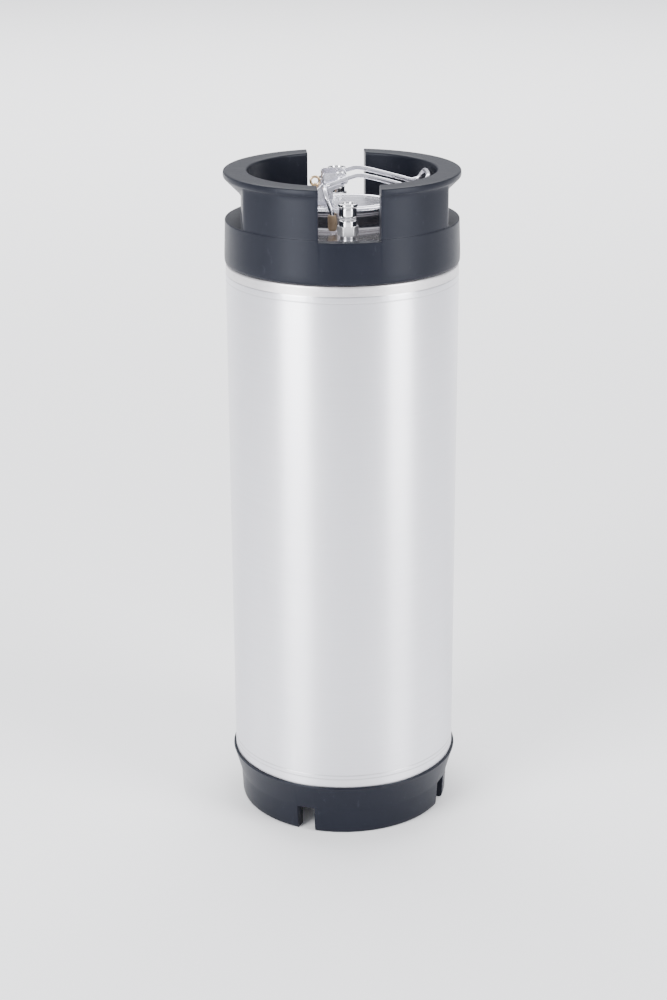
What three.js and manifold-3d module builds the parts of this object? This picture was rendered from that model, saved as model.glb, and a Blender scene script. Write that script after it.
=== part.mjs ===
// A 19 litre ball-lock beer keg: a welded stainless vessel with a rubber handle ring on
// top, a rubber boot below, an oval lid held by a wire bail, a pressure relief valve in the
// lid, and a gas post and a liquid post with sprung poppets.
// Millimetres, +Z up. The origin is the centre of the boot's floor face. The gas post is on
// -Y, the liquid post on +Y, and the bail's handle points to +X.

import * as THREE from 'three';
import { mergeVertices } from 'three/addons/utils/BufferGeometryUtils.js';
import Module from 'manifold-3d';

const wasm = await Module();
wasm.setup();

// ---------------------------------------------------------------- driving dimensions

const RING_SEGMENTS = 40;         // facets round every full-width ring
const OVAL_SEGMENTS = 28;         // facets round the lid's oval
const SMALL_SEGMENTS = 14;        // facets round posts, pins and valves
const GAP = 0.3;                  // clearance between neighbouring pieces

const SHELL_RADIUS = 107;
const WALL = 1.2;
const NECKED_RADIUS = 103.4;      // the heads under the rubber
const HEAD_TOP = 571.5;
const HEAD_BOTTOM = 24;
const HEAD_CORNER = 12;
const TOP_WELD = [522.3, 528.7];
const BOTTOM_WELD = [60.2, 64.5];
const TOP_JOGGLE = 536;           // where the heads neck in to take the rubber
const BOTTOM_JOGGLE = 50.4;
const JOGGLE_HEIGHT = 4.5;

const TOTAL_HEIGHT = 622;
const RING_OUTER = 108;
const RING_INNER = 86;
const RING_SHELF = 577.8;         // floor of the hand grips
const BAND_BOTTOM = 538.5;
const SLOT_WIDTH = 54.5;
const SLOT_FLOOR = 576;
const GRIP_PLANE = 91.5;          // distance of the flat grip wall from the axis
const GRIP_HALF_LENGTH = 52;
const GRIP_CORNER = 9;

const BOOT_LIP_RADIUS = 109.5;
const BOOT_LIP_TOP = 52;
const BOOT_INNER = 88.5;
const NOTCH_WIDTH = 17;
const NOTCH_TOP = 24.7;
const FIRST_NOTCH_TURN = -24.7;   // degrees from the gas post's side towards +X

const LID_HALF_X = 50;            // the collar's outer oval
const LID_HALF_Y = 38;
const COLLAR_TOP = 592;

const POST_Y = 79;
const POST_FOOT = 577.6;
const GAS_POST_TOP = 605.6;
const LIQUID_POST_TOP = 609.2;
const PORT_BORE = 6.4;            // holes in the head for the ports
const PORT_THREAD = 5.5;
const HEX_TOP = 586;
const HEX_CORNER = 9.6;           // centre to corner
const POST_BARREL = 7.75;
const POST_NOSE = 8.6;
const GROOVE_RADIUS = 6.2;        // groove for the post's seal
const GROOVE_LOW = 591.2;
const GROOVE_HIGH = 593;
const DIP_TUBE_RADIUS = 3.4;
const DIP_TUBE_BORE = 2.5;
const DIP_FLANGE_LOW = 584.6;
const DIP_FLANGE_TOP = 586;

const PIVOT_X = -1;               // the bail's hinge line
const PIVOT_Z = 614;
const ARM_Y = 20;                 // half the spacing of the bail's arms
const WIRE_RADIUS = 2.15;
const FOOT_X = -11.5;
const FOOT_Y = 43.5;
const FOOT_BOTTOM = 573.6;
const FOOT_TOP = 588;
const FOOT_RADIUS = 3.9;
const EAR_Y = 12.6;               // inner face of each ear
const EAR_THICK = 2;
const EAR_BACK = -31;
const EAR_FRONT = -9;
const EAR_STEP = 604.5;           // where the front edge turns out to the hinge line
const EAR_HEAD = 5.8;             // radius round the hinge line
const EAR_TOP_BACK = -18.5;       // upright back edge of the top
const EAR_SLOPE_TOP = 611;
const EAR_CORNER = 2.3;
const PIN_RADIUS = 2.4;
const PIN_BORE = 2.6;
const PIN_HEAD = 3.4;
const BOSS_RADIUS = 4.2;
const POCKET_END = 18.9;          // bottom of the pocket that the pin runs in

const PRV_X = -24.5;
const PRV_SEAT = 588;
const PRV_BODY_TOP = 600;
const PRV_THREAD = 5.8;
const PRV_HEX = 7.6;              // centre to corner
const PRV_CAP = 6.2;
const PRV_CAP_LOW = 597.4;
const PRV_DISC_TOP = 591;
const PRV_EYE_Z = 606.6;
const PRV_RING_RADIUS = 4;
const PRV_RING_SECTION = 1.2;

// ---------------------------------------------------------------- materials

const material = (color, roughness, metalness) =>
  new THREE.MeshStandardMaterial({ color, roughness, metalness });

const RUBBER = material(0x2c303a, 0.62, 0);
const SATIN_STEEL = material(0xd4d3da, 0.34, 1);
const POLISHED_STEEL = material(0xdedee2, 0.12, 1);
const SPRING_STEEL = material(0xb9bcc2, 0.3, 1);
const SEAL_RUBBER = material(0x151517, 0.55, 0);
const CLEAR_SILICONE = material(0xb4b4b8, 0.3, 0);
const FOOT_RUBBER = material(0x9a7f63, 0.6, 0);
const BRASS = material(0xc0a06a, 0.3, 1);

// ---------------------------------------------------------------- mesh helpers

// Joins shared corners and drops the slivers that a lathe leaves on its axis.
function welded(geometry) {
  const bare = geometry.clone();
  bare.deleteAttribute('normal');
  bare.deleteAttribute('uv');
  const merged = mergeVertices(bare, 1e-4);
  const index = merged.index.array;
  const kept = [];
  for (let i = 0; i < index.length; i += 3) {
    const [a, b, c] = [index[i], index[i + 1], index[i + 2]];
    if (a !== b && b !== c && c !== a) kept.push(a, b, c);
  }
  merged.setIndex(kept);
  return merged;
}

// Signed volume from the tetrahedra that the faces make with the origin.
function signedVolume(geometry) {
  const at = geometry.attributes.position;
  const index = geometry.index.array;
  const [a, b, c] = [new THREE.Vector3(), new THREE.Vector3(), new THREE.Vector3()];
  let volume = 0;
  for (let i = 0; i < index.length; i += 3) {
    a.fromBufferAttribute(at, index[i]);
    b.fromBufferAttribute(at, index[i + 1]);
    c.fromBufferAttribute(at, index[i + 2]);
    volume += a.dot(b.cross(c)) / 6;
  }
  return volume;
}

// A closed geometry with its faces pointing out.
function closed(geometry) {
  const tidy = welded(geometry);
  if (signedVolume(tidy) < 0) {
    const index = tidy.index.array;
    for (let i = 0; i < index.length; i += 3) [index[i], index[i + 1]] = [index[i + 1], index[i]];
  }
  return tidy;
}

function toManifold(geometry) {
  const tidy = closed(geometry);
  return new wasm.Manifold(new wasm.Mesh({
    numProp: 3,
    vertProperties: new Float32Array(tidy.attributes.position.array),
    triVerts: new Uint32Array(tidy.index.array),
  }));
}

function toGeometry(manifold) {
  const mesh = manifold.getMesh();
  const geometry = new THREE.BufferGeometry();
  geometry.setAttribute('position', new THREE.BufferAttribute(mesh.vertProperties, 3));
  geometry.setIndex(new THREE.BufferAttribute(mesh.triVerts, 1));
  return geometry;
}

const cut = (body, ...tools) =>
  toGeometry(tools.reduce((left, tool) => left.subtract(toManifold(tool)), toManifold(body)));
const join = (...bodies) =>
  toGeometry(bodies.map(toManifold).reduce((whole, body) => whole.add(body)));
const overlap = (a, b) => toGeometry(toManifold(a).intersect(toManifold(b)));

// ---------------------------------------------------------------- shape helpers

// Points on an arc of the (r, z) plane, angles in degrees.
function arc(r, z, radius, from, to, steps) {
  return Array.from({ length: steps + 1 }, (_, i) => {
    const angle = THREE.MathUtils.degToRad(from + (to - from) * i / steps);
    return [r + radius * Math.cos(angle), z + radius * Math.sin(angle)];
  });
}

// A closed (r, z) outline turned about the Z axis.
function turned(outline, segments = SMALL_SEGMENTS) {
  const solidCore = outline[0][0] === 0 && outline.at(-1)[0] === 0;
  const whole = solidCore ? outline : [...outline, outline[0]];
  const points = whole.map(([r, z]) => new THREE.Vector2(r, z));
  return new THREE.LatheGeometry(points, segments).rotateX(Math.PI / 2);
}

const rod = (radius, low, high, segments = SMALL_SEGMENTS) =>
  turned([[0, low], [radius, low], [radius, high], [0, high]], segments);

const tube = (inner, outer, low, high, segments = SMALL_SEGMENTS) =>
  turned([[inner, low], [outer, low], [outer, high], [inner, high]], segments);

const ringSeal = (radius, section, z, segments = SMALL_SEGMENTS) =>
  turned(arc(radius, z, section, 0, 300, 5), segments);

// A flat outline raised from z = low to z = high.
const extruded = (shape, low, high, curveSegments = 12) =>
  new THREE.ExtrudeGeometry(shape, { depth: high - low, bevelEnabled: false, curveSegments })
    .translate(0, 0, low);

const block = (low, high) => {
  const size = high.map((value, i) => value - low[i]);
  const centre = high.map((value, i) => (value + low[i]) / 2);
  return new THREE.BoxGeometry(...size).translate(...centre);
};

// A round wire along a curve, closed at both ends.
function wire(curve, radius, steps, sides) {
  const circle = new THREE.EllipseCurve(0, 0, radius, radius).getPoints(sides).slice(0, sides);
  return new THREE.ExtrudeGeometry(new THREE.Shape(circle),
    { steps, bevelEnabled: false, extrudePath: curve });
}

// A compression spring: a helix about the Z axis.
class Helix extends THREE.Curve {
  constructor(radius, low, high, turns) {
    super();
    Object.assign(this, { radius, low, high, turns });
  }

  getPoint(t, target = new THREE.Vector3()) {
    const angle = t * this.turns * Math.PI * 2;
    const height = this.low + (this.high - this.low) * t;
    return target.set(this.radius * Math.cos(angle), this.radius * Math.sin(angle), height);
  }
}

const coilSpring = (radius, wireRadius, low, high, turns) =>
  wire(new Helix(radius, low + wireRadius, high - wireRadius, turns), wireRadius, turns * 8, 4);

// A point at the lathe angle on the lid's oval, moved straight out from it by offset.
function ovalPoint(angle, offset) {
  const [x, y] = [LID_HALF_X * Math.cos(angle), LID_HALF_Y * Math.sin(angle)];
  const normal = new THREE.Vector2(x / LID_HALF_X ** 2, y / LID_HALF_Y ** 2).normalize();
  return new THREE.Vector2(x + normal.x * offset, y + normal.y * offset);
}

// An (offset, z) outline carried round the lid's oval.
function ovalRing(outline) {
  const base = 100;
  const geometry = turned(outline.map(([offset, z]) => [base + offset, z]), OVAL_SEGMENTS);
  const at = geometry.attributes.position;
  for (let i = 0; i < at.count; i += 1) {
    const offset = Math.hypot(at.getX(i), at.getY(i)) - base;
    const point = ovalPoint(Math.atan2(at.getY(i), at.getX(i)), offset);
    at.setXY(i, point.x, point.y);
  }
  return geometry;
}

// A flat plate with the lid's oval outline.
function ovalPlate(offset, low, high) {
  const outline = Array.from({ length: OVAL_SEGMENTS }, (_, i) =>
    ovalPoint(i * 2 * Math.PI / OVAL_SEGMENTS, offset));
  return extruded(new THREE.Shape(outline), low, high);
}

const keg = new THREE.Group();
keg.name = 'beer_keg';

function add(name, geometry, finish, parent = keg) {
  const mesh = new THREE.Mesh(closed(geometry), finish);
  mesh.name = name;
  parent.add(mesh);
  return mesh;
}

// ---------------------------------------------------------------- welded vessel

const WALL_INNER = SHELL_RADIUS - WALL;

function shellCylinder() {
  return tube(WALL_INNER, SHELL_RADIUS, BOTTOM_WELD[1] + GAP, TOP_WELD[0] - GAP, RING_SEGMENTS);
}

function girthWeld([low, high]) {
  const crown = SHELL_RADIUS + 0.2;
  return tube(WALL_INNER, crown, low, high, RING_SEGMENTS);
}

// The outline of a head's skirt, joggle and corner, from its weld edge to its flat. sign is
// +1 for the top head and -1 for the bottom one, and inset is the distance in from the
// outside surface.
function headOutline(weldEdge, joggle, flat, sign, inset) {
  const shift = inset * 0.4;
  const bend = arc(NECKED_RADIUS - HEAD_CORNER, flat - sign * HEAD_CORNER, HEAD_CORNER - inset,
    0, 90 * sign, 3);
  return [
    [SHELL_RADIUS - inset, weldEdge],
    [SHELL_RADIUS - inset, joggle - sign * shift],
    [NECKED_RADIUS - inset, joggle + sign * (JOGGLE_HEIGHT - shift)],
    ...bend,
  ];
}

const headBlank = (weldEdge, joggle, flat, sign) => turned([
  ...headOutline(weldEdge, joggle, flat, sign, 0),
  [0, flat],
  [0, flat - sign * WALL],
  ...headOutline(weldEdge, joggle, flat, sign, WALL).reverse(),
], RING_SEGMENTS);

// The collar: a flare up from the head, a narrow neck, and a rolled bead whose inner lip
// turns down inside as the lid's sealing edge.
const BEAD = 3.5;
const BEAD_OFFSET = -BEAD;
const BEAD_Z = COLLAR_TOP - BEAD;
const LIP_OFFSET = -2 * BEAD;
const LIP_BOTTOM = 582;
const NECK_OFFSET = -2.2;
const FLARE = 5;

function collar() {
  const flareOffset = NECK_OFFSET + FLARE;
  const outside = [
    [flareOffset + 4, HEAD_TOP],
    ...arc(flareOffset, HEAD_TOP + FLARE, FLARE, 270, 180, 2),
    [NECK_OFFSET, 584.4],
    ...arc(BEAD_OFFSET, BEAD_Z, BEAD, -60, 180, 5),
    [LIP_OFFSET, LIP_BOTTOM],
    [LIP_OFFSET + WALL, LIP_BOTTOM],
  ];
  const inside = [
    ...arc(BEAD_OFFSET, BEAD_Z, BEAD - WALL, 180, 0, 3),
    [NECK_OFFSET - WALL, 584.2],
    [NECK_OFFSET - WALL, HEAD_TOP + 3],
    [flareOffset - 3, HEAD_TOP - WALL],
    [flareOffset + 4, HEAD_TOP - WALL],
  ];
  return ovalRing([...outside, ...inside]);
}

const portHole = side => rod(PORT_BORE, 560, 580).translate(0, side * POST_Y, 0);

function topHead() {
  const mouth = ovalPlate(NECK_OFFSET + FLARE + 2, 560, 580);
  return cut(join(cut(headBlank(TOP_WELD[1] + GAP, TOP_JOGGLE, HEAD_TOP, 1), mouth), collar()),
    portHole(-1), portHole(1));
}

// The bottom head has a shallow sump, so that the last of the beer gathers under the tube.
function bottomHead() {
  const blank = headBlank(BOTTOM_WELD[0] - GAP, BOTTOM_JOGGLE, HEAD_BOTTOM, -1);
  const sump = turned([[0, 19.5], [16, 19.5], [23, HEAD_BOTTOM], [23, HEAD_BOTTOM + WALL],
    [21.5, HEAD_BOTTOM + WALL], [0, HEAD_BOTTOM + WALL]], RING_SEGMENTS);
  const hollow = turned([[0, 20.7], [15.6, 20.7], [21.6, HEAD_BOTTOM + WALL], [21.6, 40], [0, 40]],
    RING_SEGMENTS);
  return cut(join(blank, sump), hollow);
}

add('shell_cylinder', shellCylinder(), SATIN_STEEL);
add('top_girth_weld', girthWeld(TOP_WELD), SATIN_STEEL);
add('bottom_girth_weld', girthWeld(BOTTOM_WELD), SATIN_STEEL);
add('top_head', topHead(), SATIN_STEEL);
add('bottom_head', bottomHead(), SATIN_STEEL);

// ---------------------------------------------------------------- rubber handle ring

function handleRing() {
  const corner = HEAD_CORNER + GAP;
  const middle = NECKED_RADIUS - HEAD_CORNER;
  const blank = turned([
    [107.5, BAND_BOTTOM],
    [RING_OUTER - 0.1, BAND_BOTTOM + 1.5],
    [RING_OUTER, 545],
    [106.4, RING_SHELF - 1.4],
    [106.4, RING_SHELF],
    [RING_OUTER, 614],
    ...arc(RING_OUTER - 2.5, TOTAL_HEIGHT - 2.5, 2.5, 0, 90, 2),
    ...arc(RING_INNER + 1.8, TOTAL_HEIGHT - 1.8, 1.8, 90, 180, 1),
    [RING_INNER, HEAD_TOP + GAP],
    ...arc(middle, HEAD_TOP - HEAD_CORNER, corner, 90, 0, 3),
    [NECKED_RADIUS + GAP + 0.1, 541],
    [105.5, BAND_BOTTOM],
  ], RING_SEGMENTS);

  const half = SLOT_WIDTH / 2;
  const slots = [-1, 1].flatMap(side => {
    const [near, far] = side > 0 ? [50, 130] : [-130, -50];
    const post = block([-half, near, SLOT_FLOOR], [half, far, 640]);
    const floor = overlap(block([-half, near, 570], [half, far, 600]), rod(97, 570, 600, RING_SEGMENTS));
    return [post, floor];
  });

  const grip = roundedBox(GRIP_PLANE, 140, GRIP_HALF_LENGTH, GRIP_CORNER, RING_SHELF, 640);
  const underLip = turned([[61.5, 570], [140, 570], [140, 648.5]], RING_SEGMENTS);
  const grips = [0, Math.PI].map(turn => overlap(grip, underLip).rotateZ(turn));
  return cut(blank, ...slots, ...grips);
}

// A block from x = near to x = far with its two near upright edges rounded.
function roundedBox(near, far, halfWidth, radius, low, high) {
  const shape = new THREE.Shape();
  shape.moveTo(far, -halfWidth);
  shape.lineTo(far, halfWidth);
  shape.lineTo(near + radius, halfWidth);
  shape.absarc(near + radius, halfWidth - radius, radius, Math.PI / 2, Math.PI, false);
  shape.lineTo(near, -halfWidth + radius);
  shape.absarc(near + radius, -halfWidth + radius, radius, Math.PI, Math.PI * 1.5, false);
  return extruded(shape, low, high, 4);
}

add('handle_ring', handleRing(), RUBBER);

// ---------------------------------------------------------------- rubber boot

function boot() {
  const corner = HEAD_CORNER + GAP;
  const blank = turned([
    [BOOT_INNER + 1, 0],
    [98.8, 0],
    [100.4, 1.2],
    [101, 4],
    [102, 24],
    [109, 49.6],
    [BOOT_LIP_RADIUS, 51],
    [109.1, BOOT_LIP_TOP],
    [SHELL_RADIUS + GAP, BOOT_LIP_TOP],
    [SHELL_RADIUS + GAP, BOTTOM_JOGGLE - 0.2],
    [NECKED_RADIUS + GAP + 0.1, BOTTOM_JOGGLE - JOGGLE_HEIGHT - 0.2],
    ...arc(NECKED_RADIUS - HEAD_CORNER, HEAD_BOTTOM + HEAD_CORNER, corner, 0, -90, 3),
    [BOOT_INNER, HEAD_BOTTOM - GAP],
    [BOOT_INNER, 1],
  ], RING_SEGMENTS);
  const notch = block([-NOTCH_WIDTH / 2, -125, -5], [NOTCH_WIDTH / 2, -80, NOTCH_TOP]);
  const notches = [0, 1, 2, 3].map(quarter =>
    notch.clone().rotateZ(THREE.MathUtils.degToRad(FIRST_NOTCH_TURN + 90 * quarter)));
  return cut(blank, ...notches);
}

add('boot', boot(), RUBBER);

// ---------------------------------------------------------------- gas and liquid posts

// The neck that is welded into the head: a seat for the dip tube on top, and the thread that
// the post screws on to.
function port() {
  const shank = PORT_BORE - GAP;
  const shoulder = 7;
  const top = 584;
  const outside = turned([
    [0, 565],
    [shank, 565],
    [shank, HEAD_TOP + GAP],
    [shoulder, HEAD_TOP + GAP],
    [shoulder, POST_FOOT - GAP],
    [PORT_THREAD, POST_FOOT - GAP],
    [PORT_THREAD, top],
    [0, top],
  ]);
  return cut(outside, rod(4.1, 560, 590));
}

// The post: a hexagon for the spanner, a barrel with the seal's groove round it, and a
// flanged nose round the poppet.
function post(top) {
  const body = turned([
    [0, POST_FOOT],
    [POST_BARREL, POST_FOOT],
    [POST_BARREL, GROOVE_LOW - 0.7],
    [GROOVE_RADIUS, GROOVE_LOW],
    [GROOVE_RADIUS, GROOVE_HIGH],
    [POST_BARREL, GROOVE_HIGH + 1.5],
    [POST_BARREL, top - 3.8],
    [POST_NOSE, top - 2.4],
    [POST_NOSE, top - 0.7],
    [POST_NOSE - 0.7, top],
    [6.2, top],
    [4.4, top - 1.6],
    [0, top - 1.6],
  ]);
  const hexagon = turned([
    [0, POST_FOOT],
    [HEX_CORNER, POST_FOOT],
    [HEX_CORNER, HEX_TOP - 0.8],
    [HEX_CORNER - 1, HEX_TOP],
    [0, HEX_TOP],
  ], 6).rotateZ(Math.PI / 6);
  const thread = PORT_THREAD + GAP;
  const bore = turned([
    [0, POST_FOOT - 5],
    [thread, POST_FOOT - 5],
    [thread, HEX_TOP - 0.5],
    [5, HEX_TOP + 0.5],
    [5, top - 6.2],
    [3.2, top - 4],
    [3.2, top + 5],
    [0, top + 5],
  ]);
  return cut(join(body, hexagon), bore);
}

// The poppet: a guide inside the spring, a flange that the spring pushes up, and a button
// that shows in the post's mouth.
function poppet(top) {
  return turned([
    [0, top - 9.4],
    [2.2, top - 9.4],
    [2.2, top - 8.2],
    [4.3, top - 8.2],
    [4.3, top - 6.8],
    [2.3, top - 6.8],
    [2.3, top - 1.6],
    [1.7, top - 1],
    [0, top - 1],
  ]);
}

// A seal that sits on the poppet's shoulder, under the nose of the post.
const poppetSeal = top => turned([[2.6, top - 6.5], [4.2, top - 6.5], [2.6, top - 5.2]]);
const SEAL_SECTION = 0.5;
const postSeal = () =>
  ringSeal(GROOVE_RADIUS + 0.15 + SEAL_SECTION, SEAL_SECTION, (GROOVE_LOW + GROOVE_HIGH) / 2);
const postSpring = top => coilSpring(3.3, 0.4, DIP_FLANGE_TOP + 0.4, top - 8.5, 4);

// A tube that hangs from a flange at the top of the port.
function dipTube(route, steps) {
  const flange = turned([
    [0, DIP_FLANGE_LOW - 0.1],
    [4.9, DIP_FLANGE_LOW],
    [4.9, DIP_FLANGE_TOP],
    [0, DIP_FLANGE_TOP],
  ]).translate(0, route[0].y, 0);
  const path = new THREE.CatmullRomCurve3(route, false, 'centripetal');
  const outside = join(wire(path, DIP_TUBE_RADIUS, steps, 8), flange);
  const start = route[0].clone().setZ(route[0].z + 4);
  const end = route.at(-1).clone().add(route.at(-1).clone().sub(route.at(-2)).setLength(4));
  const boreRoute = new THREE.CatmullRomCurve3([start, ...route, end], false, 'centripetal');
  return cut(outside, wire(boreRoute, DIP_TUBE_BORE, steps + 4, 8));
}

const point = (x, y, z) => new THREE.Vector3(x, y, z);
const gasRoute = [585.9, 570, 548, 530].map(z => point(0, -POST_Y, z));
const liquidRoute = [
  point(0, POST_Y, 585.9),
  point(0, POST_Y, 560),
  point(0, POST_Y, 300),
  point(0, POST_Y, 160),
  point(0, 74, 120),
  point(0, 40, 62),
  point(0, 16, 33),
  point(0, 8, 26),
];

const POSTS = [
  { name: 'gas', side: -1, top: GAS_POST_TOP, route: gasRoute, steps: 4 },
  { name: 'liquid', side: 1, top: LIQUID_POST_TOP, route: liquidRoute, steps: 14 },
];

for (const { name, side, top, route, steps } of POSTS) {
  const place = geometry => geometry.translate(0, side * POST_Y, 0);
  add(`${name}_port`, place(port()), SATIN_STEEL);
  add(`${name}_post`, place(post(top)), POLISHED_STEEL);
  add(`${name}_post_oring`, place(postSeal()), CLEAR_SILICONE);
  add(`${name}_poppet`, place(poppet(top)), POLISHED_STEEL);
  add(`${name}_poppet_seal`, place(poppetSeal(top)), SEAL_RUBBER);
  add(`${name}_poppet_spring`, place(postSpring(top)), SPRING_STEEL);
  add(`${name}_dip_tube`, dipTube(route, steps), SATIN_STEEL);
}

// ---------------------------------------------------------------- lid

const LID_EDGE = LIP_OFFSET - 0.8;      // outside of the lid's upstand
const LID_WALL = 1.5;
const LID_FLANGE_TOP = 578.2;

function lid() {
  const inner = LID_EDGE - LID_WALL;
  const rim = ovalRing([
    [inner - 5, COLLAR_TOP],
    ...arc(LID_EDGE - 2, COLLAR_TOP - 2, 2, 90, 0, 3),
    [LID_EDGE, LID_FLANGE_TOP],
    [NECK_OFFSET - WALL - 0.6, LID_FLANGE_TOP],
    [NECK_OFFSET - WALL - 0.6, LID_FLANGE_TOP - LID_WALL],
    [inner, LID_FLANGE_TOP - LID_WALL],
    [inner, COLLAR_TOP - LID_WALL],
    [inner - 5, COLLAR_TOP - LID_WALL],
  ]);
  const plate = ovalPlate(inner - 3, COLLAR_TOP - LID_WALL, COLLAR_TOP);
  const valveHole = rod(6.1, 580, 600).translate(PRV_X, 0, 0);
  return cut(join(rim, plate), valveHole);
}

function lidSeal() {
  const section = 1.6;
  return ovalRing(arc(LIP_OFFSET + 1.4, LIP_BOTTOM - GAP - section, section, 0, 300, 5));
}

// One ear of the bail's bracket: an upright plate with a level top, rounded round the hinge
// line in front, with a foot that is welded to the lid. side is -1 on the gas post's side
// and +1 on the other.
function ear(side) {
  const base = COLLAR_TOP + GAP;
  const cornerX = EAR_TOP_BACK + EAR_CORNER;
  const cornerZ = PIVOT_Z + EAR_HEAD - EAR_CORNER;
  const outline = new THREE.Shape();
  outline.moveTo(EAR_BACK, base);
  outline.lineTo(EAR_FRONT, base);
  outline.lineTo(EAR_FRONT, EAR_STEP);
  outline.lineTo(PIVOT_X + EAR_HEAD * 0.77, PIVOT_Z - EAR_HEAD * 0.64);
  outline.absarc(PIVOT_X, PIVOT_Z, EAR_HEAD, -0.22 * Math.PI, 0.5 * Math.PI, false);
  outline.lineTo(cornerX, PIVOT_Z + EAR_HEAD);
  outline.absarc(cornerX, cornerZ, EAR_CORNER, 0.5 * Math.PI, Math.PI, false);
  outline.lineTo(EAR_TOP_BACK, EAR_SLOPE_TOP);
  outline.lineTo(EAR_BACK, base + 5);
  const upright = extruded(outline, 0, EAR_THICK, 10)
    .rotateX(Math.PI / 2)
    .translate(0, EAR_Y + EAR_THICK, 0);
  const foot = block([EAR_BACK, EAR_Y, base], [EAR_FRONT, EAR_Y + 7.5, base + EAR_THICK]);
  const bore = hingeRod(PIN_BORE, EAR_Y - 5, EAR_Y + EAR_THICK + 2);
  return cut(join(upright, foot), bore).scale(1, side, 1);
}

// A rod along the hinge line on the +Y side.
function hingeRod(radius, near, far) {
  return rod(radius, near, far).rotateX(-Math.PI / 2).translate(PIVOT_X, 0, PIVOT_Z);
}

function pivotPin(side) {
  const shoulder = EAR_Y - GAP;
  const head = hingeRod(PIN_HEAD, shoulder - 1.3, shoulder);
  return join(head, hingeRod(PIN_RADIUS, shoulder - 0.5, POCKET_END - 0.5)).scale(1, side, 1);
}

add('lid', lid(), SATIN_STEEL);
add('lid_oring', lidSeal(), SEAL_RUBBER);
for (const [name, side] of [['front', -1], ['rear', 1]]) {
  add(`bail_ear_${name}`, ear(side), SATIN_STEEL);
  add(`bail_pin_${name}`, pivotPin(side), POLISHED_STEEL);
}

// ---------------------------------------------------------------- wire bail

// Half of the bail, from the middle of the handle to the end of the leg inside the rubber
// foot, on the +Y side.
const HANDLE_X = 77;
const bailHalf = [
  point(HANDLE_X, 12, 616.5),
  point(HANDLE_X - 1.2, 17, 615),
  point(HANDLE_X - 5.5, ARM_Y - 0.4, 608.5),
  point(66, ARM_Y, 606.4),
  point(56, ARM_Y, 608.8),
  point(24, ARM_Y, 617.2),
  point(14, ARM_Y, 618.8),
  point(6, ARM_Y, 617),
  point(PIVOT_X, ARM_Y, 614.6),
  point(-11, ARM_Y, 610.8),
  point(-15.6, 22, 609.4),
  point(-17.2, 27, 608.6),
  point(-17.4, 33, 607.2),
  point(-16.6, 38, 603.4),
  point(-14.4, 41.2, 597),
  point(-12.2, FOOT_Y - 0.4, 590.6),
  point(FOOT_X, FOOT_Y, 586),
  point(FOOT_X, FOOT_Y, FOOT_BOTTOM + 6),
];

function bail() {
  const mirrored = bailHalf.map(({ x, y, z }) => point(x, -y, z)).reverse();
  const route = new THREE.CatmullRomCurve3([...mirrored, ...bailHalf], false, 'centripetal');
  const both = geometry => [geometry, geometry.clone().scale(1, -1, 1)];
  const bosses = both(hingeRod(BOSS_RADIUS, 15, 19.6));
  const pockets = both(hingeRod(PIN_BORE, 14, POCKET_END));
  return cut(join(wire(route, WIRE_RADIUS, 56, 8), ...bosses), ...pockets);
}

// A rubber foot that caps the end of the bail's leg.
function bailFoot(side) {
  const blank = turned([
    [0, FOOT_BOTTOM],
    [2, FOOT_BOTTOM + 0.4],
    [3.3, FOOT_BOTTOM + 1.6],
    [FOOT_RADIUS, FOOT_BOTTOM + 3.6],
    [FOOT_RADIUS, FOOT_TOP - 1],
    [3.4, FOOT_TOP],
    [0, FOOT_TOP],
  ]).translate(FOOT_X, FOOT_Y, 0);
  const straight = rod(WIRE_RADIUS + 0.35, FOOT_BOTTOM + 5.6, 586).translate(FOOT_X, FOOT_Y, 0);
  const slant = new THREE.LineCurve3(point(FOOT_X, FOOT_Y, 585), point(-12.4, FOOT_Y - 0.5, 592));
  const socket = join(straight, wire(slant, WIRE_RADIUS + 0.45, 1, 16));
  return cut(blank, socket).scale(1, side, 1);
}

add('bail', bail(), SATIN_STEEL);
add('bail_foot_front', bailFoot(-1), FOOT_RUBBER);
add('bail_foot_rear', bailFoot(1), FOOT_RUBBER);

// ---------------------------------------------------------------- pressure relief valve

function prvBody() {
  const thread = rod(PRV_THREAD, 584, 593);
  const hexagon = rod(PRV_HEX, 592.4, 596.4, 6);
  const neck = rod(PRV_CAP, 596, PRV_BODY_TOP);
  const springRoom = rod(4.3, PRV_SEAT, 610);
  return cut(join(thread, hexagon, neck), springRoom, rod(2.2, 580, 590));
}

// The cap screws into the body and holds the spring down.
function prvCap() {
  const base = PRV_BODY_TOP + GAP;
  return turned([
    [1.9, PRV_CAP_LOW],
    [4, PRV_CAP_LOW],
    [4, base],
    [PRV_CAP, base],
    [PRV_CAP, base + 2.6],
    [PRV_CAP - 1, base + 3.4],
    [1.9, base + 3.4],
  ]);
}

function prvNut() {
  const hexagon = rod(PRV_HEX, 584.6, 590.2, 6);
  return cut(hexagon, rod(PRV_THREAD + GAP, 580, 600));
}

// The stem: a valve disc, a rod through the spring and the cap, and an eye for the ring.
function prvStem() {
  const discLow = PRV_DISC_TOP - 1.2;
  const shaft = turned([
    [0, discLow],
    [3.8, discLow],
    [3.8, PRV_DISC_TOP],
    [1.4, PRV_DISC_TOP],
    [1.4, PRV_EYE_Z - 2],
    [0, PRV_EYE_Z - 2],
  ]);
  const across = geometry => geometry.rotateY(Math.PI / 2).translate(0, 0, PRV_EYE_Z);
  return cut(join(shaft, across(rod(2.6, -1, 1))), across(rod(1.5, -5, 5)));
}

const ringCentre = PRV_EYE_Z + PRV_RING_RADIUS;
const pullRing = () => turned(arc(PRV_RING_RADIUS, 0, PRV_RING_SECTION, 0, 300, 5), 20)
  .rotateX(Math.PI / 2)
  .translate(0, 0, ringCentre);

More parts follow.
